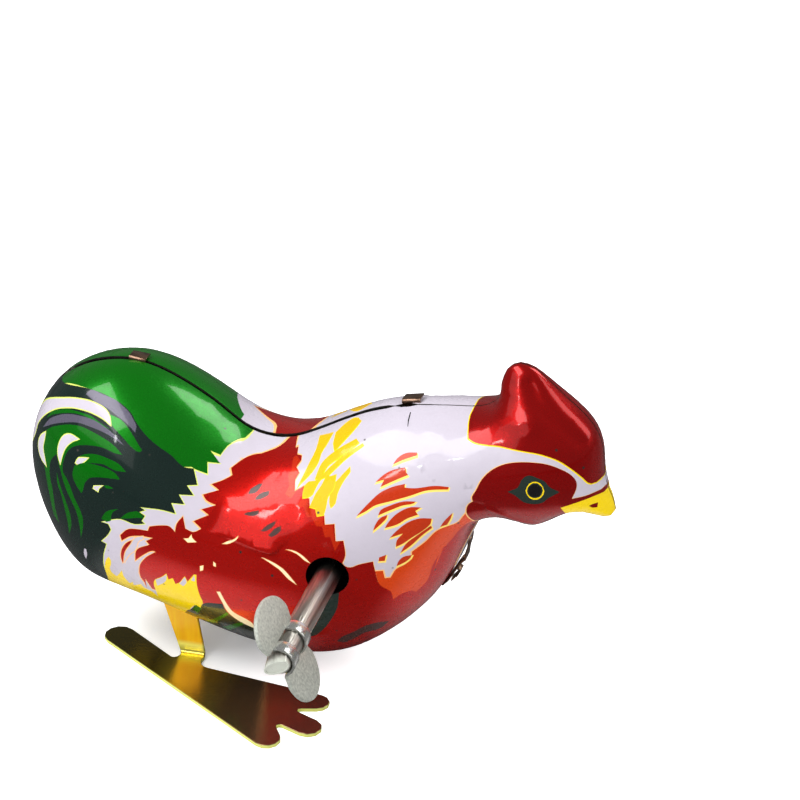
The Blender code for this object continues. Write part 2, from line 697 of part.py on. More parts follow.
def add_great_wheel(toy, finishes):
    """The spring's wheel, with the click that its winding ratchet pulls on."""
    axis = pivot("great_wheel_axis", KEY_AXIS, toy)
    low = -PLATE_SPREAD + PLATE + GAP
    dedendum = PINION_ADDENDUM + ROOT_CLEARANCE
    tooth = bearing(KEY_AXIS, second_axis())
    outline = gear_outline(KEY_AXIS, GREAT_TEETH, GREAT_MODULE, WHEEL_ADDENDUM, dedendum, tooth)
    centre = polar(KEY_AXIS, CLICK_PIVOT_RADIUS, CLICK_ANGLE)
    holes = [circle(KEY_AXIS, ARBOR_RADIUS + GAP), circle(centre, FINE_ARBOR_RADIUS + GAP)]
    add_object("great_wheel", slab([outline] + holes, low, low + WHEEL), axis, finishes["brass"])
    click_low, click_high = click_layer()
    rivet = ((0, low), (FINE_ARBOR_RADIUS, low), (FINE_ARBOR_RADIUS, click_high + GAP),
             (CLICK_EYE, click_high + GAP), (CLICK_EYE, click_high + GAP + RIVET_HEAD),
             (0, click_high + GAP + RIVET_HEAD))
    add_object("click_rivet", lathe(centre, rivet, 10), axis, finishes["steel"])
    click_axis = pivot("click_axis", centre, toy)
    wheel("click", centre, click_outline(centre), FINE_ARBOR_RADIUS + GAP,
          click_low, click_high, click_axis, finishes["steel"])


def add_winder(toy, finishes):
    """The winding arbor with its ratchet wheel, and the key pressed on its square end."""
    axis = pivot("winder_axis", KEY_AXIS, toy)
    catch = CLICK_ANGLE - CLICK_REACH - (CLICK_NOSE + GAP) / RATCHET_RADIUS
    wheel("ratchet_wheel", KEY_AXIS, ratchet_outline(catch), ARBOR_RADIUS + GAP,
          *click_layer(), axis, finishes["steel"])
    end = PLATE_SPREAD + GAP
    bore_end = KEY_TUBE_START - KEY_BORE_DEPTH
    tip = KEY_TUBE_START - KEY_LENGTH
    square = KEY_SQUARE * sqrt(2)
    arbor = ((0, end), (ARBOR_RADIUS, end), (ARBOR_RADIUS, -end), (square, -end - GAP),
             (square, bore_end + GAP), (0, bore_end + GAP))
    add_object("winding_arbor", lathe(KEY_AXIS, arbor), axis, finishes["steel"])
    tube = ((0, tip), (KEY_TUBE_RADIUS - GAP, tip), (KEY_TUBE_RADIUS, tip + GAP),
            (KEY_TUBE_RADIUS, KEY_TUBE_START), (square + GAP, KEY_TUBE_START),
            (square + GAP, bore_end), (0, bore_end))
    add_object("key_tube", lathe(KEY_AXIS, tube, 10), axis, finishes["plated"])
    key_blade(axis, finishes["zinc"])


def add_second_wheel(toy, finishes):
    """The second arbor, whose pinion meets the great wheel and whose wheel drives the crank."""
    centre = second_axis()
    axis = pivot("second_axis", centre, toy)
    inner = PLATE_SPREAD - PLATE
    bore = FINE_ARBOR_RADIUS + GAP
    dedendum = WHEEL_ADDENDUM + ROOT_CLEARANCE
    gap_phase = bearing(centre, KEY_AXIS) + pi / SECOND_PINION_TEETH
    outline = gear_outline(
        centre, SECOND_PINION_TEETH, GREAT_MODULE, PINION_ADDENDUM, dedendum, gap_phase)
    wheel("second_pinion", centre, outline, bore,
          GAP - inner, GAP - inner + PINION, axis, finishes["brass"])
    dedendum = PINION_ADDENDUM + ROOT_CLEARANCE
    tooth = bearing(centre, CRANK_AXIS)
    outline = gear_outline(centre, SECOND_TEETH, SECOND_MODULE, WHEEL_ADDENDUM, dedendum, tooth)
    wheel("second_wheel", centre, outline, bore,
          inner - GAP - WHEEL, inner - GAP, axis, finishes["brass"])
    end = PLATE_SPREAD + GAP
    add_object("second_arbor", rod(centre, FINE_ARBOR_RADIUS, -end, end, 8), axis, finishes["steel"])


def crank_throw():
    """How far the crank pin stands off its arbor to rock the lever through the legs' whole swing."""
    reach = hypot(CRANK_AXIS[0] - LEG_AXIS[0], CRANK_AXIS[1] - LEG_AXIS[1])
    return reach, reach * sin(LEG_SWING / 2)


def add_crank(toy, finishes):
    """The crank arbor with its pinion, and the disc and pin outside the left plate."""
    axis = pivot("crank_axis", CRANK_AXIS, toy)
    inner = PLATE_SPREAD - PLATE
    bore = FINE_ARBOR_RADIUS + GAP
    dedendum = WHEEL_ADDENDUM + ROOT_CLEARANCE
    gap_phase = bearing(CRANK_AXIS, second_axis()) + pi / CRANK_PINION_TEETH
    outline = gear_outline(
        CRANK_AXIS, CRANK_PINION_TEETH, SECOND_MODULE, PINION_ADDENDUM, dedendum, gap_phase)
    wheel("crank_pinion", CRANK_AXIS, outline, bore,
          inner - GAP - PINION, inner - GAP, axis, finishes["brass"])
    end = PLATE_SPREAD + GAP
    disc_high = end + WHEEL
    arbor = rod(CRANK_AXIS, FINE_ARBOR_RADIUS, -end, disc_high, 8)
    add_object("crank_arbor", arbor, axis, finishes["steel"])
    _, throw = crank_throw()
    pin = polar(CRANK_AXIS, throw, bearing(LEG_AXIS, CRANK_AXIS) + LEG_SWING / 2 + pi / 2)
    holes = [circle(CRANK_AXIS, bore, 8), circle(pin, bore, 8)]
    disc = slab([circle(CRANK_AXIS, throw + bore + CRANK_DISC_RIM, 20)] + holes, end, disc_high)
    add_object("crank_disc", disc, axis, finishes["steel"])
    peg = rod(pin, FINE_ARBOR_RADIUS, end, disc_high + GAP, 8)
    add_object("crank_pin", peg, axis, finishes["steel"])
    return disc_high + 2 * GAP


def add_legs(toy, finishes, lever_low):
    """Both feet, the axle that joins them and the slotted lever that the crank rocks."""
    steel = finishes["steel"]
    axis = pivot("leg_axis", LEG_AXIS, toy)
    foot("right_foot", -1, axis, finishes["passivated"])
    foot("left_foot", 1, axis, finishes["passivated"])
    reach, throw = crank_throw()
    aim = bearing(LEG_AXIS, CRANK_AXIS) + LEG_SWING / 2
    half = FINE_ARBOR_RADIUS + GAP
    near = polar(LEG_AXIS, reach - throw, aim)
    far = polar(LEG_AXIS, reach + throw, aim)
    outline = arc(LEG_AXIS, LEVER_EYE, aim + radians(80), aim + radians(280), 8)
    outline += arc(far, half + LEVER_RIM, aim - pi / 2, aim + pi / 2, 6)
    slot = arc(near, half, aim + pi / 2, aim + 3 * pi / 2, 4)
    slot += arc(far, half, aim - pi / 2, aim + pi / 2, 4)
    bore = circle(LEG_AXIS, LEG_AXLE_RADIUS + GAP)
    lever = slab([outline, bore, slot], lever_low, lever_low + LEVER)
    add_object("kick_lever", lever, axis, steel)
    right_end = -PLATE_SPREAD - GAP - FOOT_PLATE - GAP
    left_end = lever_low + LEVER + GAP
    for name, start in (("right_washer", right_end - WASHER), ("left_washer", left_end)):
        ring = slab([circle(LEG_AXIS, WASHER_RADIUS), bore], start, start + WASHER)
        add_object(name, ring, axis, steel)
    axle = rod(LEG_AXIS, LEG_AXLE_RADIUS, right_end - WASHER - GAP, left_end + WASHER + GAP)
    add_object("leg_axle", axle, axis, steel)


def add_shells(toy, finishes, layout, depth):
    """Both halves of the body, with the seam tabs, the key hole and the belly opening."""
    right = shell_object("shell_right", -1, layout, depth, toy, finishes["litho"])
    left = shell_object("shell_left", 1, layout, depth, toy, finishes["litho"])
    boolean(right, tab_helpers(toy), "UNION")
    hole = rod(KEY_AXIS, KEY_HOLE_RADIUS, -SHELL_HALF_WIDTH - WING_RELIEF - TIN, -PLATE_SPREAD, 24)
    boolean(right, add_object("key_hole_helper", hole, toy), "DIFFERENCE")
    rear, front = LEG_OPENING
    wide = PLATE_SPREAD + GAP + FOOT_PLATE + LEG_ROOM
    box = [(rear, 0.0), (front, 0.0), (front, LEG_OPENING_TOP), (rear, LEG_OPENING_TOP)]
    opening = add_object("belly_helper", slab([box], -wide, wide), toy)
    boolean(right, opening, "DIFFERENCE")
    boolean(left, opening, "DIFFERENCE")


def stand_on_origin(toy):
    """Move the toy so that its bounding box's base is centred on the origin, and print its main places."""
    bpy.context.view_layer.update()
    graph = bpy.context.evaluated_depsgraph_get()
    corners = []
    for made in bpy.data.objects:
        if made.type == "MESH" and not made.hide_render:
            shown = made.evaluated_get(graph)
            corners += [made.matrix_world @ vert.co for vert in shown.data.vertices]
    low = Vector([min(corner[axis] for corner in corners) for axis in range(3)])
    high = Vector([max(corner[axis] for corner in corners) for axis in range(3)])
    toy.location = Vector((-(low.x + high.x) / 2, -(low.y + high.y) / 2, -low.z))
    bpy.context.view_layer.update()
    print("size in mm", [round(side / MM, 2) for side in high - low])
    for empty in bpy.data.objects:
        if empty.type == "EMPTY":
            print(empty.name, [round(side, 6) for side in empty.matrix_world.translation])


def main():
    for old in list(bpy.data.objects):
        bpy.data.objects.remove(old, do_unlink=True)
    finishes = {
        "litho": material("lithographed_tin", (0.55, 0.03, 0.02), 0.25, 0.2),
        "passivated": material("passivated_steel", (0.32, 0.24, 0.06), 0.35, 0.9),
        "zinc": material("galvanised_steel", (0.50, 0.52, 0.52), 0.55, 0.9),
        "plated": material("plated_tube", (0.62, 0.62, 0.62), 0.3, 1.0),
        "steel": material("plain_steel", (0.45, 0.45, 0.46), 0.4, 1.0),
        "brass": material("brass", (0.72, 0.52, 0.18), 0.35, 1.0),
        "dark": material("blued_spring_steel", (0.08, 0.09, 0.12), 0.35, 1.0),
    }
    toy = bpy.data.objects.new("toy", None)
    bpy.context.collection.objects.link(toy)
    layout = shell_layout()
    depth = shell_bulge(*layout)
    outer = [(x, -SEAM_GAP / 2 - bulge, z) for (x, z), bulge in zip(layout[0].tolist(), depth.tolist())]
    shell_tree = (BVHTree.FromPolygons(outer, layout[1].tolist()), KEY_AXIS[1])
    add_shells(toy, finishes, layout, depth)
    add_frame(toy, finishes, shell_tree)
    add_great_wheel(toy, finishes)
    add_winder(toy, finishes)
    add_second_wheel(toy, finishes)
    lever_low = add_crank(toy, finishes)
    add_legs(toy, finishes, lever_low)
    stand_on_origin(toy)


main()
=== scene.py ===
import json
from math import cos, hypot, pi, radians, sin, sqrt

import bmesh
import bpy
import numpy as np
from mathutils import Matrix, Vector
from mathutils.bvhtree import BVHTree
from mathutils.geometry import delaunay_2d_cdt


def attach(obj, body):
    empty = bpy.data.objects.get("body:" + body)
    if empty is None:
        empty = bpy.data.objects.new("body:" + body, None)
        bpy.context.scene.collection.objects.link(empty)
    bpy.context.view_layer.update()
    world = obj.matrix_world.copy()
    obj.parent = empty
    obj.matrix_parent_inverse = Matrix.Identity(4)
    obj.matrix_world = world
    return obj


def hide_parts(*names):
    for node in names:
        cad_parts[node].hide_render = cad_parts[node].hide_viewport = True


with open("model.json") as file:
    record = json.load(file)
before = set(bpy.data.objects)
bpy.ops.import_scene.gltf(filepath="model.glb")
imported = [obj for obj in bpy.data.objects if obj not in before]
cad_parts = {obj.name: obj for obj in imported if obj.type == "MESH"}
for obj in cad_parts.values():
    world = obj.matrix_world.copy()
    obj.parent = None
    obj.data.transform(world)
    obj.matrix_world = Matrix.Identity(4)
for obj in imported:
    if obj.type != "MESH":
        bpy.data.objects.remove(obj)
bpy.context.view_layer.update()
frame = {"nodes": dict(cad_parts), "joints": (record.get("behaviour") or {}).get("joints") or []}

mm = 0.001
legJoint = next(joint for joint in frame["joints"] if joint["name"] == "leg_kick")
legAxle = Vector((-3.5, 0, 17))  # in mm on the toy: X from the leg fold, Y from the seam, Z from the table
toyOrigin = Vector(legJoint["pos_m"]) - legAxle * mm


# Inks, the printed plumage, and a painted shadow of the key tube

inks = {  # the litho colours in sRGB, and how much of the bright tin shines through each
    "white": (196, 189, 201, 0.0),
    "green": (5, 118, 10, 0.5),
    "slate": (20, 36, 32, 0.15),
    "lavender": (92, 88, 104, 0.2),
    "red": (200, 14, 4, 0.65),
    "comb": (165, 6, 5, 0.65),
    "orange": (218, 66, 2, 0.15),
    "flame": (208, 44, 4, 0.4),
    "hackle": (192, 50, 8, 0.1),
    "yellow": (250, 216, 2, 0.05),
    "cream": (250, 232, 186, 0.0),
    "wingGrey": (70, 44, 40, 0.15),
    "slateEye": (38, 50, 44, 0.1),
    "ink": (20, 20, 22, 0.1),
    "limeEdge": (214, 226, 110, 0.0),
    "goldEdge": (246, 190, 120, 0.0),
    "gold": (232, 184, 8, 0.05),
    "paleGold": (252, 222, 110, 0.0),
    "amber": (226, 116, 40, 0.1),
}

# Name, ink, edge ink, then the outline as seen from the right side; later ones lie over earlier ones.
# Here and below, the points of outlines and lines are X and Z in tenths of a mm.
plumage = (
    "greenTop green limeEdge 87,389 74,391 65,390 60,384 45,391 63,376 45,380 49,367 28,375 25,377 14,378 "
    "-8,394 -29,406 -50,420 -68,435 -80,446 -108,458 -155,462 -208,450 -214,445 -269,407 -265,482 -100,536 "
    "112,409",
    "slateMass slate limeEdge -268,424 -208,450 -155,462 -108,458 -80,446 -68,435 -50,420 -29,406 -8,394 "
    "14,378 28,375 38,355 23,355 35,342 13,343 23,330 3,331 11,316 -11,320 -45,321 -37,317 -46,313 -37,308 "
    "-42,299 -37,295 -55,292 -78,296 -112,283 -99,282 -95,273 -101,262 -115,245 -106,242 -115,216 -120,192 "
    "-121,167 -121,139 -172,55 -225,47 -301,128 -308,270 -302,383",
    "plumeWhite white limeEdge -277,365 -271,371 -253,401 -235,421 -193,442 -160,450 -136,450 -119,446 "
    "-110,439 -106,430 -120,436 -143,440 -168,439 -185,435 -209,425 -232,407 -249,384 -254,366 -285,313 "
    "-295,317",
    "sheenHigh lavender none -160,456 -154,461 -131,461 -108,458 -100,455 -82,446 -71,436 -66,430 -66,423 "
    "-81,433 -103,443 -120,449 -140,452",
    "greenStreak green none -110,442 -91,437 -80,430 -68,419 -51,401 -54,399 -59,400 -69,406 -80,414 "
    "-95,424 -103,429",
    "greenLine green none -229,403 -218,417 -202,426 -187,432 -172,435 -157,436 -142,436 -125,431 -107,425 "
    "-127,429 -147,433 -171,432 -201,422 -216,414",
    "sheenLow lavender none -233,389 -221,406 -203,419 -182,428 -159,432 -135,432 -113,426 -96,418 -79,406 "
    "-94,413 -116,420 -139,423 -162,423 -184,417 -210,405",
    "plumeTwo green none -226,386 -215,398 -196,409 -175,417 -155,420 -131,417 -109,411 -92,403 -80,394 "
    "-91,395 -112,400 -128,400 -147,397 -163,391 -174,381 -180,368 -183,355 -178,329 -187,346 -197,368 "
    "-208,353 -211,337 -206,299 -205,274 -214,292 -219,316 -224,340 -228,361",
    "crescentA white limeEdge -225,387 -237,374 -241,358 -233,344 -219,338 -224,352 -228,363 -226,376",
    "crescentB white limeEdge -156,403 -172,405 -184,400 -192,388 -194,371 -188,356 -184,373 -178,386 "
    "-167,397",
    "plumeThree green none -158,374 -145,384 -124,389 -100,386 -84,381 -71,371 -88,371 -109,377 -130,375 "
    "-144,372 -152,367",
    "crescentC white limeEdge -136,381 -146,379 -153,377 -158,368 -155,367 -144,373",
    "plumeFour green none -160,363 -144,372 -122,374 -103,372 -88,367 -80,359 -102,358 -118,356 -131,352 "
    "-139,343 -144,326 -146,323 -157,335 -163,348",
    "crescentD white limeEdge -108,345 -123,341 -124,337 -116,334 -115,339",
    "streakFive green none -107,345 -99,347 -90,344 -101,342",
    "streakA green none -222,333 -215,330 -208,315 -205,295 -204,268 -202,254 -200,239 -210,251 -213,275 "
    "-216,302",
    "streakB green none -195,340 -192,331 -185,313 -178,297 -172,279 -171,256 -180,230 -179,258 -182,283 "
    "-187,304 -194,322",
    "streakC green none -188,350 -175,338 -167,326 -160,310 -152,296 -146,279 -148,258 -155,235 -154,258 "
    "-157,283 -166,302 -175,317 -183,335",
    "tuftA green none -111,289 -101,304 -80,313 -91,304 -94,289 -102,285",
    "tuftB green none -78,297 -65,309 -50,314 -41,308 -39,304 -50,303 -62,300",
    "dropLow white none -153,212 -149,213 -150,200 -156,185 -157,196",
    "redBody red goldEdge 128,378 94,376 80,370 85,363 75,359 58,355 71,348 49,343 55,336 71,330 50,324 "
    "62,317 40,307 53,297 41,291 28,295 23,313 14,301 12,288 3,296 -10,296 -29,292 -32,284 -50,284 -65,281 "
    "-79,267 -77,257 -63,268 -45,273 -24,273 -35,266 -30,260 -52,246 -57,223 -42,238 -24,250 -20,249 "
    "-37,235 -50,215 -54,194 -53,203 -53,187 -49,177 -48,161 -45,186 -41,175 -38,164 -32,163 -29,188 "
    "-15,200 -5,210 -3,198 5,203 8,191 14,195 26,212 30,202 42,219 46,219 45,193 48,174 50,158 84,168 "
    "89,151 109,130 128,120 124,70 120,-41 156,-38 234,-25 405,150 410,163 421,211 473,333 457,323 439,318 "
    "420,282 403,247 392,213 377,195 371,202 360,201 347,191 345,211 332,227 326,255 323,273 302,268 "
    "290,263 282,265 278,270 282,283 278,306 266,304 262,329 247,326 244,339 238,338 229,345 219,345 "
    "216,355 205,354 204,367 190,359 186,369 190,377 182,380 187,387 185,390 176,388 172,391 168,389 "
    "164,390 134,381 110,377 87,375",
    "tuftRedA red goldEdge -81,210 -82,225 -78,241 -70,254 -59,262 -50,265 -53,260 -53,248 -58,242 -60,246 "
    "-59,254 -67,248 -72,234 -77,220",
    "orangeBreast orange goldEdge 326,255 337,255 339,240 347,240 356,256 369,263 378,278 378,285 398,302 "
    "413,319 423,324 440,329 462,353 436,318 458,354 469,367 483,366 485,352 464,328 448,317 428,289 "
    "414,270 403,233 420,282 403,247 392,213 377,195 371,202 360,201 347,191 345,211 332,227",
    "flameHigh flame none 194,361 189,358 185,368 188,376 180,379 185,386 175,387 171,384 175,376 172,371 "
    "179,362 176,354 187,351",
    "flameLow flame none 204,352 214,353 217,344 227,344 237,337 242,337 245,325 260,327 264,305 273,303 "
    "266,289 257,310 249,308 243,323 234,322 224,334 217,331 209,343 198,342",
    "strokeY1 gold yellow 204,409 227,421 223,412 218,403 218,396 192,362 199,380 203,391 207,402 206,407",
    "strokeY2 gold yellow 263,442 270,444 260,433 248,420 241,412 234,417 232,423 242,431",
    "strokeY3 gold yellow 272,432 279,430 252,409 235,395 227,380 219,378 224,395 243,413",
    "strokeY4 gold yellow 285,431 288,430 265,412 249,396 238,385 229,380 223,369 220,361 213,356 205,354 "
    "204,366 210,373 220,376 240,396 257,412",
    "strokeY5 gold yellow 273,404 275,399 266,385 260,369 259,357 253,350 250,356 250,375 260,389",
    "strokeY6 gold yellow 239,391 242,386 253,391 253,375 246,363 245,349 243,339 233,336 229,345 219,345 "
    "225,362 232,374",
    "h1 hackle paleGold 375,436 357,433 346,426 341,418 355,425 368,430 376,433",
    "h2 hackle paleGold 361,417 341,411 328,403 318,393 331,398 327,388 348,399 367,408 363,411",
    "h3 hackle paleGold 364,396 345,390 327,380 314,367 302,353 295,344 311,354 320,361 345,370 374,380 "
    "397,389 430,393 431,397 410,397 378,391 364,391",
    "h4 hackle paleGold 383,372 364,371 343,363 331,356 328,348 346,357 364,365 380,369",
    "h5 hackle paleGold 342,350 331,344 324,332 322,324 333,335 341,345",
    "h6 hackle paleGold 391,363 376,363 358,354 345,340 339,329 357,335 372,345 387,351 383,357",
    "h7 hackle paleGold 407,344 390,345 372,338 355,323 347,313 366,320 357,308 356,297 366,302 379,312 "
    "392,321 405,334",
    "h8 hackle paleGold 406,331 387,316 370,301 362,285 377,297 394,315 407,326",
    "h9 hackle paleGold 437,353 424,337 418,326 428,329 434,342",
    "h10 hackle paleGold 378,279 365,277 358,268 356,261 367,266 376,274",
    "diamond hackle paleGold 342,284 332,280 331,273 340,273",
    "creamA cream amber 188,283 204,282 217,276 229,266 221,269 208,278 197,281.5",
    "creamB cream amber 151,266 168,261 186,252 198,240 208,227 195,236 182,249 167,258",
    "creamC cream goldEdge 78,192 83,193 92,168 99,154 128,133 130,121 133,93 103,-15 124,70 126,118 "
    "109,130 91,151 85,171",
    "yellowPatch yellow none -29,188 -15,200 -5,210 -3,198 5,203 8,191 14,195 26,212 30,202 42,219 46,219 "
    "45,203 47,179 50,161 43,145 34,149 21,130 20,90 -34,90 -32,160",
    "patchWhiteA white none -26,191 -15,199 -5,208 -8,194 -26,176",
    "patchWhiteB white none 15,194 26,210 28,200 21,190",
    "patchWhiteC white none 36,206 42,217 43,210 42,205",
    "bellyGreen slate none 50,158 84,168 89,151 109,130 128,120 124,70 101,-31 78,-15 23,-4 -8,13 -23,23 "
    "13,123 21,130 34,149 43,145",
    "bellyStreakA green none 32,93 64,124 89,149 92,146 62,111 39,85",
    "bellyStreakB green none 67,95 92,117 111,131 113,125 80,90",
    "bellyStreakC green none 26,133 36,150 45,144 34,126",
    "fringe yellow none -112,206 -106,215 -103,209 -105,197 -109,187 -108,175 -101,169 -86,191 -86,176 "
    "-80,160 -72,167 -73,157 -57,168 -53,160 -42,156 -34,146 -30,90 -132,54 -158,63 -132,126 -123,156 "
    "-120,181",
    "notchA white goldEdge -53,268 -40,273 -39,269 -49,261 -51,253 -57,242 -66,233 -75,218 -79,211 -72,237 "
    "-61,255",
    "markA cream goldEdge 53,236 58,238 57,230 53,228",
    "markB cream goldEdge 75,247 78,245 78,240 75,241",
    "markC cream goldEdge 27,279 34,280 38,286 39,282 46,276 33,274",
    "markD cream goldEdge 88,278 102,285 114,294 104,283 95,279",
    "markE cream goldEdge 90,279 101,285 113,292 104,283 95,279",
    "comb comb yellow 443,481 442,477 446,470 450,462 459,460 479,460 500,461 516,460 538,458 564,454 "
    "590,444 609,429 623,413 636,395 648,392 666,429 643,518 559,575 497,589 456,538 441,502",
    "face comb goldEdge 467,374 466,383 471,393 480,413 491,426 509,437 528,442 552,443 574,440 591,433 "
    "608,421 617,406 617,395 611,378 629,378 643,378 652,375 654,368 642,372 623,369 603,364 600,350 "
    "600,299 566,262 502,262 460,337 457,360 461,369",
    "eyePatch slateEye none 519,396 527,400 534,404 539,416 543,421 550,424 564,419 572,415 580,405 "
    "595,394 586,389 578,384 570,376 558,374 543,378 533,388 526,393",
    "eyeRing yellow none 573,398 572,392 568,386 563,383 557,383 552,386 548,392 546,399 548,406 551,411 "
    "556,414 562,414 567,411 571,405",
    "eyePupil ink slateEye 569,399 568,394 566,390 562,388 558,388 554,390 551,394 550,399 551,404 554,408 "
    "557,410 562,410 565,407 568,404",
    "beak yellow none 655,369 642,372 625,370 608,366 595,362 598,350 602,300 640,290 691,297 691,327 "
    "668,371",
    "scratch ink none 346,467 348,467 349.5,463 351,458 350,458.5 347.5,463",
    "nostril comb none 633,356 638,358 645,358 644,349 638,350",
    "wingMarkA wingGrey none 116,345 118,350 123,353 129,356 135,357 133,353 130,349 123,346",
    "wingMarkB wingGrey none 129,341 131,345 135,348 142,351 150,353 150,349 143,345 135,342",
    "wingMarkC wingGrey none 116,323 122,326 129,328 140,331 140,326 133,323 124,322",
    "wingMarkD wingGrey none 147,305 152,310 157,314 169,321 168,316 161,309 153,305",
    "wingMarkE wingGrey none 160,301 164,305 169,311 178,315 179,309 173,303 165,299",
    "breastMarkA wingGrey none 254,97 267,113 281,121 299,134 315,139 334,135 318,117 297,114 281,101 "
    "263,89",
    # Painted shadow and reflection of the key tube on the breast, laid in among the print in the slate ink.
    "tubeShade slateEye none 259,224 273,223 268,187 258,163 245,140 230,121 218,113 215,120 226,136 "
    "237,159 245,180 250,203",
)
farPlumage = (  # on the left side alone
    "farWhite white none 70,414 65,400 60,403 54,406 48,408 42,408 34,400 30,385 40,360 90,360 110,400 "
    "90,420",
    "farRed red goldEdge 64,386 88,382 110,381 126,384 132,396 168,406 174,396 186,400 188,386 170,366 "
    "120,360 86,369",
)
grounds = ("greenTop", "slateMass", "redBody", "orangeBreast")  # large areas, whose edges lie under them all
edgeStyle = {  # by shape or ink: how far an edge ink shows round it, and how far it slips in X and Z, in mm
    "usual": (0.13, 0, 0), "hackle": (0.12, 0.06, -0.2), "comb": (0.13, -0.02, -0.03),
    "redBody": (0.13, -0.03, -0.07), "orangeBreast": (0.2, 0, 0), "face": (0.1, -0.08, -0.04),
    "cream": (0.07, 0, 0), "gold": (0.07, 0.02, -0.05), "eyePupil": (0.2, 0, 0),
}


# Outlines

def spotsOf(text):
    return [tuple(float(value) / 10 for value in pair.split(",")) for pair in text.split()]


def smoothOutline(points, step=0.5, corner=radians(48)):
    # Closed curve through the points, which stays sharp where they turn by more than the corner angle.
    spots = [Vector(point) for point in points]
    runs = [after - spot for spot, after in zip(spots, spots[1:] + spots[:1])]
    ways = [run.normalized() for run in runs]
    sharp = [abs(runs[index - 1].angle_signed(run, 0)) > corner for index, run in enumerate(runs)]
    curve = []
    for index, run in enumerate(runs):
        after = (index + 1) % len(runs)
        leave = run if sharp[index] else (ways[index - 1] + ways[index]).normalized() * run.length
        arrive = run if sharp[after] else (ways[index] + ways[after]).normalized() * run.length
        parts = 1 if sharp[index] and sharp[after] else max(1, round(run.length / step))
        for part in range(parts):
            t = part / parts
            near = spots[index] * (2 * t**3 - 3 * t**2 + 1) + leave * (t**3 - 2 * t**2 + t)
            far = spots[after] * (3 * t**2 - 2 * t**3) + arrive * (t**3 - t**2)
            curve.append(tuple(near + far))
    return np.array(curve)


def evenPath(points, step, parts=12):
    # Evenly spaced points along a smooth curve through the given ones.
    ends = [points[0]] + list(points) + [points[-1]]
    fine = []
    for index in range(len(points) - 1):
        a, b, c, d = (np.array(point) for point in ends[index:index + 4])
        for part in range(parts):
            t = part / parts
            bend = 2 * a - 5 * b + 4 * c - d
            fine.append(0.5 * (2 * b + (c - a) * t + bend * t**2 + (3 * b - a - 3 * c + d) * t**3))
    fine = np.array(fine + [points[-1]])
    lengths = np.concatenate([[0], np.cumsum(np.linalg.norm(np.diff(fine, axis=0), axis=1))])
    wanted = np.linspace(0, lengths[-1], int(np.ceil(lengths[-1] / step)) + 1)
    return np.stack([np.interp(wanted, lengths, column) for column in fine.T], 1)


def distanceTo(loop, points, closed=True):
    runs = np.roll(loop, -1, axis=0) - loop if closed else np.diff(loop, axis=0)
    nearest = np.full(len(points), 1e9)
    for start, run in zip(loop, runs):
        rel = points - start
        share = np.clip(rel @ run / max(run @ run, 1e-12), 0, 1)
        nearest = np.minimum(nearest, np.hypot(*(rel - share[:, None] * run).T))
    return nearest


def isInside(loop, points):
    # Winding number, so an outline may touch or cross itself.
    turns = np.zeros(len(points), int)
    for (x0, z0), (x1, z1) in zip(loop, np.roll(loop, -1, axis=0)):
        side = (x1 - x0) * (points[:, 1] - z0) - (points[:, 0] - x0) * (z1 - z0)
        turns += (z0 <= points[:, 1]) & (points[:, 1] < z1) & (side > 0)
        turns -= (z1 <= points[:, 1]) & (points[:, 1] < z0) & (side < 0)
    return turns != 0


def cross(one, two):
    return one[..., 0] * two[..., 1] - one[..., 1] * two[..., 0]


def innerRings(loop, depths):
    # Points on lines inside the outline, at the given depths.
    tangent = np.roll(loop, -1, axis=0) - np.roll(loop, 1, axis=0)
    inward = np.stack([-tangent[:, 1], tangent[:, 0]], 1)
    inward /= np.linalg.norm(inward, axis=1)[:, None]
    rings = []
    for depth in depths:
        ring = loop + inward * depth
        rings.append(ring[isInside(loop, ring) & (distanceTo(loop, ring) > shellForm["ringRoom"] * depth)])
    return np.concatenate(rings)


def grownOutline(loop, width):
    # The outline moved outwards, for the fine edge that shows round a printed feather. Corners move out
    # further, up to twice as far.
    back = loop - np.roll(loop, 1, axis=0)
    ahead = np.roll(loop, -1, axis=0) - loop
    back /= np.linalg.norm(back, axis=1)[:, None] + 1e-9
    ahead /= np.linalg.norm(ahead, axis=1)[:, None] + 1e-9
    sign = 1 if np.sum(cross(loop, np.roll(loop, -1, axis=0))) > 0 else -1
    mean = back + ahead
    length = np.linalg.norm(mean, axis=1)[:, None]
    mean = np.where(length > 0.3, mean / np.maximum(length, 1e-9), back)
    out = sign * np.stack([mean[:, 1], -mean[:, 0]], 1)
    miter = np.clip(1 / np.maximum(length / 2, 0.5), 1, 2)
    return loop + out * width * miter


# Body shells

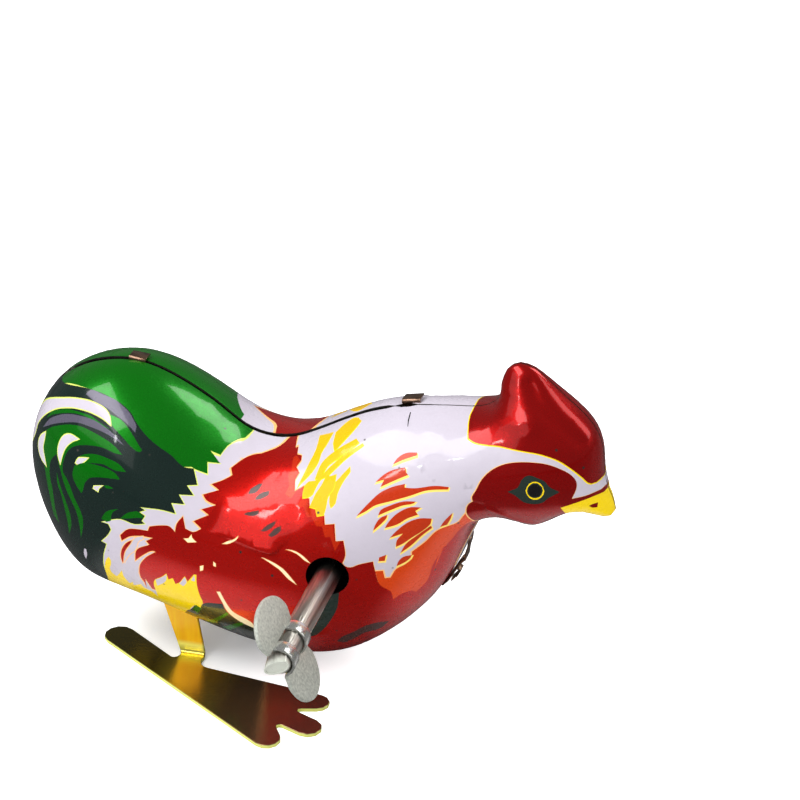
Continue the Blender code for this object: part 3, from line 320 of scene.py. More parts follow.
shellForm = {  # sizes in mm
    "seam": "667,332 662,350 652,374 647,400 643,440 632,468 612,492 582,518 552,545 532,559 510,563 "
            "493,552 484,528 480,500 454,482 400,475 340,467 285,452 240,431 193,405 156,388 118,383 "
            "76,394 20,434 -37,466 -86,483 -134,484 -186,469 -233,436 -263,387 -276,332 -272,276 -256,218 "
            "-231,162 -204,122 -168,101 -112,94 -50,80 20,55 100,31 180,18 254,32 320,75 380,136 420,202 "
            "442,256 464,300 496,312 542,294 578,314 606,330 643,320 658,319 667,332",
    "seamStep": 1.25, "rings": (0.25, 0.8, 1.5, 2.4), "ringRoom": 0.9,
    "fieldStep": 1.75, "fieldRoom": 0.55, "paintStep": 1.1, "paintRoom": 0.35, "paintRings": (0.2, 0.6, 1.2),
    # Where the body is fuller or flatter than the membrane: X, Z, radius and share.
    "fullness": ((56, 54, 8, -1.15), (66, 34, 4, -0.5), (54, 36, 9, 0.4), (-12, 43, 12, 0.6),
                 (25, 22, 11, 0.25)),
    "halfWidth": 18.0, "tin": 0.3, "gap": 0.3, "keyHole": (25.5, 24.5, 3.3), "holeParts": 40,
    "legOpening": (-10.0, 5.5), "legRoom": 8.5, "legOpeningTop": 12.0, "openingParts": (14, 160),
    # How wide the seam stands open by X, which it does fully from openTop up and not below openFoot.
    "open": ((-24, 1.4), (-16, 1.2), (-9, 0.8), (6, 0.75), (14, 1.25), (30, 1.2), (38, 0.25)),
    "openFoot": 28, "openTop": 40,
    "bareShade": (0.2, 0.2, 0.2, 0),
}
pressedForm = {  # what is pressed into the tin, in mm; it fades out towards the seam
    "seamFade": 1.5, "besideCrease": (0.28, 0.6), "step": 0.5,
    "bumps": (
        # Outline; its crisp and soft stretches as first point, last point and width of the slope; height.
        # The slopes lie inside the outline, or beyond the crisp ones where outwards is set. Flat is a point
        # and its depth, the rise along X and Z, the bend along X, and how far the bulge is drawn to it.
        {"outline": "53,296 73,338 113,352 131,360 171,372 210,366 224,335 208,312 186,285 174,275 163,273 "
                    "141,276 96,286",
         "crisp": ((5, 8, 2.4), (8, 13, 0.7)), "soft": ((0, 5, 3.2),), "height": 0.8, "outwards": False,
         "flat": (13.5, 31.5, 14.6, 0.03, -0.66, -0.008, 0.85)},
        {"outline": "482,504 486,489 505,488 530,494 544,493 544,484 527,473 515,462 490,405 430,390 "
                    "370,425 380,490",
         "crisp": ((0, 7, 2.6),), "soft": ((7, 12, 6.0),), "height": 0.6, "outwards": True, "flat": None},
    ),
    "ridges": (  # line, height and width
        ("534,540 550,516 572,497 595,480 616,462", -0.42, 0.9),
        ("487,362 507,347 526,332 543,324 556,317", 0.22, 0.5),
        ("458,362 466,370 482,365", -0.25, 0.7),
    ),
}


def smoothStep(share):
    share = np.clip(share, 0, 1)
    return share * share * (3 - 2 * share)


class BodyField:
    # How far the body bulges from its seam plane: the root of the sag of a loaded membrane.
    def __init__(self, form):
        self.form = form
        self.seam = evenPath(spotsOf(form["seam"]), form["seamStep"])[:-1]
        loop, step = self.seam, form["fieldStep"]
        grid = hexGrid(loop, step)
        grid = grid[distanceTo(loop, grid) > form["rings"][-1] + form["fieldRoom"] * step]
        spots = np.concatenate([loop, innerRings(loop, form["rings"]), grid])
        self.points, self.faces = triangles(spots, [], [list(range(len(loop)))], 1, 1e-5)
        self.solve(len(loop))
        flat = [(x, 0, z) for x, z in self.points.tolist()]
        self.tree = BVHTree.FromPolygons(flat, self.faces.tolist())
        step = pressedForm["step"]
        self.bumps = []
        for bump in pressedForm["bumps"]:
            outline = spotsOf(bump["outline"])
            lines = {kind: [(evenPath((outline * 2)[first:last + 1], step), width)
                            for first, last, width in bump[kind]] for kind in ("crisp", "soft")}
            self.bumps.append({**bump, **lines, "outline": np.array(outline)})
        self.ridges = [(evenPath(spotsOf(line), step), *rest) for line, *rest in pressedForm["ridges"]]
        self.scale = (form["halfWidth"] - form["gap"] / 2) / sqrt(self.sag.max())

    def solve(self, seamCount):
        points, faces = self.points, self.faces
        corners = points[faces]
        edges = np.roll(corners, -1, axis=1) - np.roll(corners, -2, axis=1)
        area = 0.5 * np.abs(cross(edges[:, 0], edges[:, 1]))
        middle = corners.mean(1)
        press = np.ones(len(faces))
        for x, z, radius, change in self.form["fullness"]:
            press += change * np.exp(-((middle - (x, z)) ** 2).sum(1) / radius**2)
        stiffness = np.zeros((len(points), len(points)))
        load = np.zeros(len(points))
        for one in range(3):
            np.add.at(load, faces[:, one], press * area / 3)
            for two in range(3):
                shared = (edges[:, one] * edges[:, two]).sum(1) / (4 * area)
                np.add.at(stiffness, (faces[:, one], faces[:, two]), shared)
        self.sag = np.zeros(len(points))
        free = np.arange(seamCount, len(points))
        self.sag[free] = np.linalg.solve(stiffness[np.ix_(free, free)], load[free])
        # Slope of the sag in each triangle, then averaged at each point.
        one, two = (corners[:, k] - corners[:, 0] for k in (1, 2))
        riseOne, riseTwo = (self.sag[faces[:, k]] - self.sag[faces[:, 0]] for k in (1, 2))
        slope = np.stack([riseOne * two[:, 1] - riseTwo * one[:, 1],
                          riseTwo * one[:, 0] - riseOne * two[:, 0]], 1)
        slope /= cross(one, two)[:, None]
        weight = np.zeros(len(points))
        self.slope = np.zeros((len(points), 2))
        for k in range(3):
            np.add.at(self.slope, faces[:, k], slope * area[:, None])
            np.add.at(weight, faces[:, k], area)
        self.slope /= weight[:, None]

    def sagAt(self, points):
        owner = [self.tree.find_nearest((x, 0, z))[2] for x, z in points.tolist()]
        faces = self.faces[owner]
        a, b, c = (self.points[faces[:, k]] for k in range(3))
        area = cross(b - a, c - a)
        one = cross(points - a, c - a) / area
        two = cross(b - a, points - a) / area
        shares = np.stack([1 - one - two, one, two], 1)
        slopes = self.slope[faces]
        away = points[:, None] - self.points[faces]
        sag = (shares * (self.sag[faces] + 0.5 * (slopes * away).sum(2))).sum(1)
        return np.maximum(sag, 0), (shares[..., None] * slopes).sum(1)

    def relief(self, points):
        # How far the pressed wing, comb and chin stand out or sink in at each point.
        lift = np.zeros(len(points))
        for bump in self.bumps:
            inside = isInside(bump["outline"], points)
            near = np.arange(len(points)) if bump["outwards"] else np.nonzero(inside)[0]
            if len(near) == 0:
                continue
            spots = points[near]
            raised = np.ones(len(near))
            for line, width in bump["crisp"]:
                rise = np.clip(distanceTo(line, spots, closed=False) / width, 0, 1)
                raised *= np.where(inside, 1, (1 - rise) ** 2) if bump["outwards"] else 1 - (1 - rise) ** 2
            for line, width in bump["soft"]:
                raised *= smoothStep(distanceTo(line, spots, closed=False) / width)
            height = bump["height"]
            if bump["flat"]:
                x, z, depth, alongX, alongZ, bend, share = bump["flat"]
                away = spots - (x, z)
                flat = depth + alongX * away[:, 0] + alongZ * away[:, 1] + bend * away[:, 0] ** 2
                height = height + share * (flat - self.scale * np.sqrt(self.sagAt(spots)[0]))
            lift[near] += raised * height
        for line, height, width in self.ridges:
            lift += height * np.exp(-(distanceTo(line, points, closed=False) / width) ** 2)
        return lift * smoothStep(distanceTo(self.seam, points) / pressedForm["seamFade"])

    def depth(self, points):
        sag, slope = self.sagAt(points)
        root = np.sqrt(sag)
        lift = self.relief(points)
        tiny = 0.02
        across = (self.relief(points + (tiny, 0)) - self.relief(points - (tiny, 0))) / (2 * tiny)
        upward = (self.relief(points + (0, tiny)) - self.relief(points - (0, tiny))) / (2 * tiny)
        normal = np.stack([-self.scale * slope[:, 0] - 2 * root * across, 2 * root,
                           -self.scale * slope[:, 1] - 2 * root * upward], 1)
        normal /= np.linalg.norm(normal, axis=1)[:, None]
        return self.scale * root + lift, normal


def triangles(points, edges, rims, kind, near):
    made = delaunay_2d_cdt([Vector(point) for point in np.asarray(points).tolist()], edges, rims, kind, near)
    return np.array([tuple(point) for point in made[0]]), np.array(made[2])


def hexGrid(loop, step):
    low, high = loop.min(0), loop.max(0)
    grid = []
    for number, z in enumerate(np.arange(low[1], high[1], step * sqrt(3) / 2)):
        grid += [(x + step / 2 * (number % 2), z) for x in np.arange(low[0], high[0], step)]
    grid = np.array(grid)
    return grid[isInside(loop, grid)]


def paintLayout(field, pictures):
    # Points and triangles of one shell, cut along the seam, the holes and every printed outline.
    form = field.form
    points, edges = [], []

    def addLoop(loop):
        start = len(points)
        points.extend(loop.tolist())
        edges.extend((start + index, start + (index + 1) % len(loop)) for index in range(len(loop)))

    addLoop(field.seam)
    x, z, radius = form["keyHole"]
    turn = np.linspace(0, 2 * pi, form["holeParts"], endpoint=False)
    hole = np.stack([x + radius * np.cos(turn), z + radius * np.sin(turn)], 1)
    addLoop(hole)
    (rear, front), top = form["legOpening"], form["legOpeningTop"]
    columns, parts = form["openingParts"]
    bottom = field.seam[:, 1].min()
    rim = []
    for across in np.linspace(rear, front, columns):
        column = np.stack([np.full(parts, across), np.linspace(bottom, top + 8, parts)], 1)
        column = column[isInside(field.seam, column)]
        depth = field.depth(column)[0]
        rim.append((across, min(np.interp(form["legRoom"], depth, column[:, 1]), top)))
    opening = np.array([(rear, bottom - 1)] + rim + [(front, bottom - 1)])
    addLoop(opening)
    layers, laid = [], []
    for picture in pictures:
        name, ink, edge, outline = picture.split(maxsplit=3)
        loop = smoothOutline(spotsOf(outline))
        if edge != "none":
            width, *slip = edgeStyle.get(name) or edgeStyle.get(ink) or edgeStyle["usual"]
            grown = (edge, grownOutline(loop, width) + slip)
            if name in grounds:
                layers.insert(0, grown)
            else:
                laid.append(grown)
        laid.append((ink, loop))
    layers += laid
    for ink, loop in layers:
        addLoop(loop)
    creases = [line for bump in field.bumps for kind in ("crisp", "soft") for line, width in bump[kind]]
    for line in creases + [line for line, *rest in field.ridges]:
        run = np.gradient(line, axis=0)
        across = np.stack([-run[:, 1], run[:, 0]], 1) / np.linalg.norm(run, axis=1)[:, None]
        for offset in (0, *pressedForm["besideCrease"]):
            for path in (line + across * offset, line - across * offset):
                points.extend(path[isInside(field.seam, path)].tolist())
    grid = hexGrid(field.seam, form["paintStep"])
    grid = grid[distanceTo(field.seam, grid) > form["paintRoom"] * form["paintStep"]]
    points.extend(np.concatenate([grid, innerRings(field.seam, form["paintRings"])]).tolist())
    spots, faces = triangles(points, edges, [], 0, 1e-4)
    middle = spots[faces].mean(1)
    keep = isInside(field.seam, middle) & ~isInside(hole, middle) & ~isInside(opening, middle)
    a, b, c = (spots[faces[:, k]] for k in range(3))
    turned = cross(b - a, c - a) < 0
    faces[turned] = faces[turned][:, ::-1]
    faces, middle = faces[keep], middle[keep]
    paint = np.tile(linearInk("white"), (len(faces), 1))
    for ink, loop in layers:
        low, high = loop.min(0), loop.max(0)
        near = np.nonzero(((middle > low) & (middle < high)).all(1))[0]
        paint[near[isInside(loop, middle[near])]] = linearInk(ink)
    used, faces = np.unique(faces, return_inverse=True)
    return spots[used], faces.reshape(-1, 3), paint


def linearInk(name):
    *colour, shine = inks[name]
    shares = [value / 255 for value in colour]
    linear = [share / 12.92 if share < 0.04045 else ((share + 0.055) / 1.055) ** 2.4 for share in shares]
    return linear + [shine]


def bodyShell(name, side, field, layout, materials):
    # One half of the body: printed outside, bare inside with its lining darkened as painted shade, with its
    # rims closed.
    spots, faces, paint = layout
    depth, normal = field.depth(spots)
    gap = seamGap(spots) / 2
    full = field.form["halfWidth"]
    bulge = gap + depth * (full - gap) / (full - field.form["gap"] / 2)
    normal = normal * (1, side, 1)
    outer = np.stack([spots[:, 0], side * bulge, spots[:, 1]], 1)
    inner = outer - normal * field.form["tin"]
    inner[:, 1] = side * np.maximum(side * inner[:, 1], gap)
    count = len(spots)
    skin = faces if side < 0 else faces[:, ::-1]
    lining = skin[:, ::-1] + count
    border = {}
    for face in skin.tolist():
        border.update({pair: True for pair in zip(face, face[1:] + face[:1])})
    rims = [(two, one, one + count, two + count) for one, two in border if (two, one) not in border]
    verts = np.concatenate([outer, inner]) * mm + np.array(toyOrigin)
    mesh = bpy.data.meshes.new(name)
    mesh.from_pydata(verts.tolist(), [], skin.tolist() + lining.tolist() + rims)
    bare = np.tile(field.form["bareShade"], (3 * len(faces) + 4 * len(rims), 1))
    shades = np.concatenate([np.repeat(paint, 3, axis=0), bare])
    layer = mesh.color_attributes.new("paint", "FLOAT_COLOR", "CORNER")
    layer.data.foreach_set("color", shades.ravel())
    for material in materials:
        mesh.materials.append(material)
    kinds = [0] * len(faces) + [1] * len(faces) + [2] * len(rims)
    mesh.polygons.foreach_set("material_index", kinds)
    mesh.polygons.foreach_set("use_smooth", [True] * len(kinds))
    mesh.update()
    smooth = np.concatenate([normal, -normal])[np.concatenate([skin, lining])].reshape(-1, 3)
    flat = [tuple(polygon.normal) for polygon in mesh.polygons[2 * len(faces):] for corner in range(4)]
    mesh.normals_split_custom_set(smooth.tolist() + flat)
    return addObject(name, mesh)


def seamGap(spots):
    # Open along the back and tail, nearly closed on both sides of the neck tab, and a slot right under it.
    form, gap = shellForm, shellForm["gap"]
    width = np.interp(spots[:, 0], *zip(*form["open"]))
    top = np.clip((spots[:, 1] - form["openFoot"]) / (form["openTop"] - form["openFoot"]), 0, 1)
    x, z, tab = tabForm["neck_tab"][:3]
    (slotOut, slotEase), (shutOut, shutEase) = tabForm["slotRoom"], tabForm["shutRoom"]
    level = np.abs(spots[:, 1] - z) <= tabForm["level"]
    away = np.abs(spots[:, 0] - x)
    shut = tabForm["shut"] * level * smoothStep((tab / 2 + shutOut - away) / shutEase)
    slot = tabForm["slot"] * level * smoothStep((tab / 2 + slotOut - away) / slotEase)
    return (gap + (width - gap) * top) * (1 - shut) + slot


# Modelling by hand

def addObject(name, data):
    made = bpy.data.objects.new(name, data)
    bpy.context.scene.collection.objects.link(made)
    return made


def selectOnly(piece):
    bpy.ops.object.select_all(action="DESELECT")
    piece.select_set(True)
    bpy.context.view_layer.objects.active = piece


def addPiece(name, add, **settings):
    # A new primitive, with nothing else selected.
    bpy.ops.object.select_all(action="DESELECT")
    add(**settings)
    piece = bpy.context.object
    piece.name = piece.data.name = name
    return piece


def pick(piece, kind, test):
    # Selects the corners, edges or faces that pass the test, and nothing else.
    bpy.ops.mesh.select_mode(type={"verts": "VERT", "edges": "EDGE", "faces": "FACE"}[kind])
    bpy.ops.mesh.select_all(action="DESELECT")
    mesh = bmesh.from_edit_mesh(piece.data)
    for item in getattr(mesh, kind):
        if test(item):
            item.select_set(True)
    mesh.select_flush_mode()
    bmesh.update_edit_mesh(piece.data)


def softenEdges(piece, angle, width, parts):
    least = radians(angle)
    pick(piece, "edges", lambda edge: len(edge.link_faces) == 2 and edge.calc_face_angle(0) > least)
    bpy.ops.mesh.bevel(offset=width, segments=parts)


def extrude(*move):
    bpy.ops.mesh.extrude_region_move(TRANSFORM_OT_translate={"value": move})


def turnOutwards():
    bpy.ops.mesh.select_all(action="SELECT")
    bpy.ops.mesh.normals_make_consistent(inside=False)


def editMode(on):
    bpy.ops.object.mode_set(mode="EDIT" if on else "OBJECT")


def applyModifier(piece, kind, **settings):
    modifier = piece.modifiers.new(kind.lower(), kind)
    for key, value in settings.items():
        setattr(modifier, key, value)
    bpy.ops.object.modifier_apply(modifier=modifier.name)


def finishPiece(piece, place, material, body, replaced=(), smooth=40):
    # Puts the shape in its place, with its object at the origin, and names what it rides on.
    piece.data.transform(place @ piece.matrix_world)
    piece.matrix_world = Matrix.Identity(4)
    selectOnly(piece)
    bpy.ops.object.shade_smooth_by_angle(angle=radians(smooth))
    piece.data.materials.clear()
    piece.data.materials.append(material)
    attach(piece, body)
    if replaced:
        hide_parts(*replaced)


def strip(name, path, width, thickness, softened=0.06):
    # A band of sheet metal across Y, drawn out along a path in XZ.
    piece = addPiece(name, bpy.ops.mesh.primitive_plane_add, size=1)
    editMode(True)
    mesh = bmesh.from_edit_mesh(piece.data)
    for vert in mesh.verts:
        x, z = path[0] if vert.co.x < 0 else path[1]
        vert.co = (x, vert.co.y * width, z)
    bmesh.update_edit_mesh(piece.data)
    x, z = path[1]
    pick(piece, "edges", lambda edge: all(hypot(vert.co.x - x, vert.co.z - z) < 1e-4 for vert in edge.verts))
    for (xa, za), (xb, zb) in zip(path[1:], path[2:]):
        extrude(xb - xa, 0, zb - za)
    editMode(False)
    applyModifier(piece, "SOLIDIFY", thickness=thickness, offset=0, use_even_offset=True)
    editMode(True)
    softenEdges(piece, 60, softened, 2)
    turnOutwards()
    editMode(False)
    return piece


def arcPath(centre, radius, start, end, parts):
    turns = (start + (end - start) * part / parts for part in range(parts + 1))
    return [(centre[0] + radius * cos(turn), centre[1] + radius * sin(turn)) for turn in turns]


def placed(origin, xAxis, yAxis, zAxis):
    # From a piece's own frame in mm to the toy, in metres.
    turn = Matrix((xAxis, yAxis, zAxis)).transposed().to_4x4()
    return Matrix.Translation(toyOrigin) @ Matrix.Scale(mm, 4) @ Matrix.Translation(origin) @ turn


# Seam tabs and the clip under the breast

tabForm = {  # in mm: x and z on the seam, width along it and reach across it
    "tail_tab": (-10.6, 48.5, 2.8, 1.7), "neck_tab": (33.5, 46.8, 3.0, 1.8),
    "thickness": 0.3, "rise": 0.42, "bend": 0.32, "root": 0.9, "middle": (0.6, 0.04), "end": (0.6, 0.2),
    "near": {"tail_tab": -0.3, "neck_tab": 0.75},  # how far beyond the seam plane it comes up
    # The slot under the neck tab, and the share by which the seam is shut beside it: each with its room beyond
    # the tab and the width over which it fades. Level is how far both reach up and down.
    "slot": 1.1, "slotRoom": (0.4, 0.6), "shut": 0.8, "shutRoom": (1.6, 0.5), "level": 2,
}
clipForm = {  # in mm: how far each point stands out from the seam, by its share of the way down
    "from": (44.0, 24.3), "to": (39.4, 16.3), "width": 3.0, "flapWidth": 1.8, "thickness": 0.28,
    "strip": ((0, 0.0), (0.12, 0.3), (0.22, 0.4), (0.3, 0.75), (0.38, 0.7), (0.46, 0.35), (0.6, 0.3),
              (0.75, 0.3), (0.9, 0.25), (1, 0.0)),
    "flap": ((0.56, 0.35), (0.57, 0.75), (0.6, 1.05), (0.7, 1.05), (0.78, 0.95), (0.82, 0.75)),
}


def seamPoint(x, z):
    # The nearest place on the seam, and the direction out of the body there.
    loop = bodyField.seam
    near = int(np.argmin(np.hypot(*(loop - (x, z)).T)))
    along = Vector(loop[(near + 1) % len(loop)] - loop[near - 1]).normalized()
    return loop[near], Vector((along.y, -along.x))


def addTabs(material):
    form = tabForm
    bend, rise = form["bend"], form["rise"]
    (share, dip), (over, drop) = form["middle"], form["end"]
    for name, near in form["near"].items():
        x, z, width, reach = form[name]
        path = [(near, -form["root"]), (near, rise - bend)]
        path += arcPath((near + bend, rise - bend), bend, pi, pi / 2, 5)[1:]
        path += [(near + reach * share, rise - dip), (near + reach + over, rise - drop)]
        tab = strip(name, path, width, form["thickness"])
        spot, out = seamPoint(x, z)
        up, across = Vector((out.x, 0, out.y)), Vector((0, 1, 0))
        up = -up if up.z < 0 else up
        place = placed((spot[0], 0, spot[1]), across, up.cross(across), up)
        finishPiece(tab, place, material, "frame")


def addClip(material):
    form = clipForm
    (x0, z0), (x1, z1) = form["from"], form["to"]
    for name, key, width in (("breast_clip", "strip", "width"), ("breast_flap", "flap", "flapWidth")):
        path = []
        for share, stand in form[key]:
            spot, out = seamPoint(x0 + (x1 - x0) * share, z0 + (z1 - z0) * share)
            out = -out if out.x < 0 else out
            path.append((spot[0] + out.x * stand, spot[1] + out.y * stand))
        piece = strip(name, path, form[width], form["thickness"])
        finishPiece(piece, placed((0, 0, 0), *Matrix.Identity(3)), material, "frame")


# Winding key

keyForm = {  # in mm, in the key's own frame: X out along the blades, Y along the tube, Z away from the eye
    "axis": (25.5, 24.5), "turn": 118,
    "tubeStart": -13.0, "crimpStart": -41.9, "tubeEnd": -43.6, "tubeRadius": 1.95,
    "crimp": (0.5, 1, 1.08), "crimpRim": 0.28, "bore": 0.15, "tubeWall": 0.9, "hollow": 6,
    # The rolled tube's long joint and its ridge: angle, and in or out.
    "longFolds": ((-128, -1), (-60, 1)), "foldLine": 0.14, "foldHalf": 4.6, "foldInset": 0.02,
    "middle": -38.0, "gap": 0.1, "spans": (16.6, 17.8), "neck": 1.8, "rootShare": 0.88,
    "blades": ((12.2, -0.5), (10.4, 0.3)),  # width of the upper and lower one, and its shift along the tube
    "bladeThickness": 0.7, "bladeEdge": 0.2,
    "strapWidth": 2.4, "strapStep": 3.0, "strapThickness": 0.42, "strapEdge": 0.12, "strapFacets": 7,
    "lap": 1.4,
}


def keyPlace(along=0):
    turn = radians(keyForm["turn"])
    x, z = keyForm["axis"]
    out, away = Vector((cos(turn), 0, sin(turn))), Vector((-sin(turn), 0, cos(turn)))
    return placed((x, 0, z), out, Vector((0, 1, 0)), away) @ Matrix.Translation((0, along, 0))


def addKeyTube(material):
    form = keyForm
    start, end, radius = form["tubeStart"], form["crimpStart"], form["tubeRadius"]
    tube = addPiece("key_tube_drawn", bpy.ops.mesh.primitive_cylinder_add, vertices=40, radius=radius,
                    depth=start - end, location=(0, (start + end) / 2, 0), rotation=(pi / 2, 0, 0))
    bpy.ops.object.transform_apply()
    editMode(True)
    for angle, inOrOut in form["longFolds"]:
        line = Vector((cos(radians(angle)), 0, sin(radians(angle))))
        pick(tube, "faces", lambda face: face.normal.dot(line) > cos(radians(form["foldHalf"])))
        bpy.ops.mesh.inset(thickness=form["foldInset"])
        bpy.ops.transform.translate(value=line * form["foldLine"] * inOrOut)
    pick(tube, "faces", lambda face: face.normal.y < -0.9)
    extrude(0, form["tubeEnd"] - end, 0)
    bpy.ops.transform.resize(value=form["crimp"])
    bpy.ops.mesh.inset(thickness=form["crimpRim"])
    extrude(0, form["bore"], 0)
    pick(tube, "faces", lambda face: face.normal.y > 0.9 and len(face.verts) > 8)
    bpy.ops.mesh.inset(thickness=form["tubeWall"])
    extrude(0, -form["hollow"], 0)
    turnOutwards()
    editMode(False)
    finishPiece(tube, keyPlace(), material, "winder", ("key_tube",), smooth=30)


def addKeyBlades(bladeMaterial, strapMaterial):
    form = keyForm
    middle = form["tubeRadius"] + form["gap"] + form["strapThickness"] / 2
    for name, turn, span, (width, shift) in zip(("upper", "lower"), (0, pi), form["spans"], form["blades"]):
        swell = span / 2 - middle - form["neck"]
        blade = addPiece("key_blade_" + name, bpy.ops.mesh.primitive_circle_add, vertices=72, radius=1,
                         fill_type="NGON")
        editMode(True)
        bpy.ops.mesh.select_all(action="SELECT")
        bpy.ops.transform.resize(value=(swell, width / 2, 1))
        bpy.ops.mesh.bisect(plane_co=(0, 0, 0), plane_no=(1, 0, 0), clear_inner=True)
        pick(blade, "edges", lambda edge: all(abs(vert.co.x) < 1e-4 for vert in edge.verts))
        extrude(-form["neck"], 0, 0)
        bpy.ops.transform.resize(value=(1, form["rootShare"], 1))
        bpy.ops.mesh.select_all(action="SELECT")
        bpy.ops.transform.translate(value=(middle + form["neck"], 0, -form["bladeThickness"] / 2))
        extrude(0, 0, form["bladeThickness"])
        turnOutwards()
        softenEdges(blade, 50, form["bladeEdge"], 3)
        editMode(False)
        place = keyPlace(form["middle"] + shift) @ Matrix.Rotation(turn, 4, "Y")
        finishPiece(blade, place, bladeMaterial, "winder", () if turn else ("key_blade",))
    for number in (-1, 0, 1):  # the outer two straps pass over the tube and the middle one behind it
        face = 1 if number == 0 else -1
        lap = middle + form["lap"]
        arc = arcPath((0, 0), middle, pi, 0, form["strapFacets"])[1:]
        path = [(-lap, 0), (-middle, 0)] + [(x, face * z) for x, z in arc] + [(lap, 0)]
        strap = strip(f"key_strap_{number + 2}", path, form["strapWidth"], form["strapThickness"],
                      form["strapEdge"])
        place = keyPlace(form["middle"] + number * form["strapStep"])
        finishPiece(strap, place, strapMaterial, "winder", smooth=24)


# Feet

footForm = {"merge": 1e-6, "flat": 1.5, "edge": 0.00014}  # metres and degrees


def addFoot(name, material):
    # The plate and leg of one foot, with the stamped edges softened.
    foot = addObject(name + "_bent", frame["nodes"][name].data.copy())
    selectOnly(foot)
    editMode(True)
    bpy.ops.mesh.select_all(action="SELECT")
    bpy.ops.mesh.remove_doubles(threshold=footForm["merge"])
    bpy.ops.mesh.dissolve_limited(angle_limit=radians(footForm["flat"]))
    softenEdges(foot, 60, footForm["edge"], 2)
    editMode(False)
    finishPiece(foot, Matrix.Identity(4), material, "legs", (name,), smooth=50)
    applyModifier(foot, "WEIGHTED_NORMAL", keep_sharp=True, weight=100)


# Finishes

def fill(tree, node, links):
    # Gives each named input its value, or links it to a node's first output or to (node, output).
    for socket, source in links.items():
        source = (source, 0) if isinstance(source, bpy.types.Node) else source
        if isinstance(source, tuple) and isinstance(source[0], bpy.types.Node):
            tree.links.new(source[0].outputs[source[1]], node.inputs[socket])
        else:
            node.inputs[socket].default_value = source
    return node


def addNode(tree, kind, links, **settings):
    node = tree.nodes.new("ShaderNode" + kind)
    for key, value in settings.items():
        setattr(node, key, value)
    return fill(tree, node, links)


def ramp(tree, source, low, high, lowValue=0.0, highValue=1.0):
    return addNode(tree, "MapRange", {"Value": source, "From Min": low, "From Max": high,
                                      "To Min": lowValue, "To Max": highValue})


def toneRamp(tree, source, stops):
    node = addNode(tree, "ValToRGB", {"Fac": source})
    elements = node.color_ramp.elements
    while len(elements) < len(stops):
        elements.new(0.5)
    for element, (spot, colour) in zip(elements, stops):
        element.position, element.color = spot, (*colour, 1)
    return node


def calculated(tree, operation, one, two, **settings):
    return addNode(tree, "Math", {0: one, 1: two}, operation=operation, **settings)


def mixed(tree, factor, one, two, blend="MIX"):
    return addNode(tree, "Mix", {"Factor": factor, 6: one, 7: two}, data_type="RGBA", blend_type=blend), 2


def newGroup(name, inputs, outputs):
    group = bpy.data.node_groups.new(name, "ShaderNodeTree")
    for side, sockets in (("INPUT", inputs), ("OUTPUT", outputs)):
        for socket, kind, *value in sockets:
            made = group.interface.new_socket(socket, in_out=side, socket_type="NodeSocket" + kind)
            if value:
                made.default_value = value[0]
    return group, group.nodes.new("NodeGroupInput"), group.nodes.new("NodeGroupOutput")


speckEdge = (0.1, 0.22)  # where a spot begins and ends to fade, as shares of its cell


def makeSpeckGroup():
    # Fine pits and dust: a mask of rare small spots, at the given size in mm.
    inputs = (("Vector", "Vector"), ("Size", "Float", 1.0), ("Amount", "Float", 0.1))
    group, start, end = newGroup("specks", inputs, (("Mask", "Float"),))
    scale = calculated(group, "DIVIDE", 1000.0, (start, "Size"))
    cells = addNode(group, "TexVoronoi", {"Vector": (start, "Vector"), "Scale": scale})
    near = ramp(group, (cells, "Distance"), *speckEdge, 1.0, 0.0)
    bright = addNode(group, "SeparateColor", {"Color": (cells, "Color")})
    rare = calculated(group, "LESS_THAN", (bright, "Red"), (start, "Amount"))
    fill(group, end, {"Mask": calculated(group, "MULTIPLY", near, rare)})
    return group


def makeMottleGroup():
    # Soft cloudy change between two colours, with the same clouds as a value.
    inputs = (("Vector", "Vector"), ("Scale", "Float", 300.0), ("One", "Color", (1, 1, 1, 1)),
              ("Two", "Color", (0, 0, 0, 1)), ("Sharpness", "Float", 0.2))
    group, start, end = newGroup("mottle", inputs, (("Color", "Color"), ("Clouds", "Float")))
    links = {"Vector": (start, "Vector"), "Scale": (start, "Scale"), "Detail": 4.0}
    noise = addNode(group, "TexNoise", links)
    low, high = (calculated(group, kind, 0.5, (start, "Sharpness")) for kind in ("SUBTRACT", "ADD"))
    clouds = addNode(group, "MapRange", {"Value": (noise, "Fac"), "From Min": low, "From Max": high})
    fill(group, end, {"Color": mixed(group, clouds, (start, "One"), (start, "Two")), "Clouds": clouds})
    return group


def mottled(tree, place, scale, one, two, sharpness=0.2):
    links = {"Vector": place, "Scale": scale, "One": (*one, 1), "Two": (*two, 1), "Sharpness": sharpness}
    return addNode(tree, "Group", links, node_tree=mottle)


def bumped(tree, place, scale, detail, strength, distance):
    noise = addNode(tree, "TexNoise", {"Vector": place, "Scale": scale, "Detail": detail})
    return addNode(tree, "Bump", {"Height": (noise, "Fac"), "Strength": strength, "Distance": distance})


def newMaterial(name):
    material = bpy.data.materials.new(name)
    material.use_nodes = True
    tree = material.node_tree
    return material, tree, tree.nodes["Principled BSDF"], (tree.nodes.new("ShaderNodeTexCoord"), "Object")


lithoForm = {  # clouds and waves as mottled and bumped take them
    "clouds": (900.0, (1, 1, 1), (0.93, 0.93, 0.93), 0.25), "dust": (0.05, 0.045, 0.04, 1), "dustSize": 1.3,
    "dustAmount": 0.035, "waves": (220.0, 2.0, 0.1, 0.0004), "roughness": (0.24, 0.32),
    "shader": {"Specular IOR Level": 0.15, "Coat Weight": 0.5, "Coat Roughness": 0.07},
}


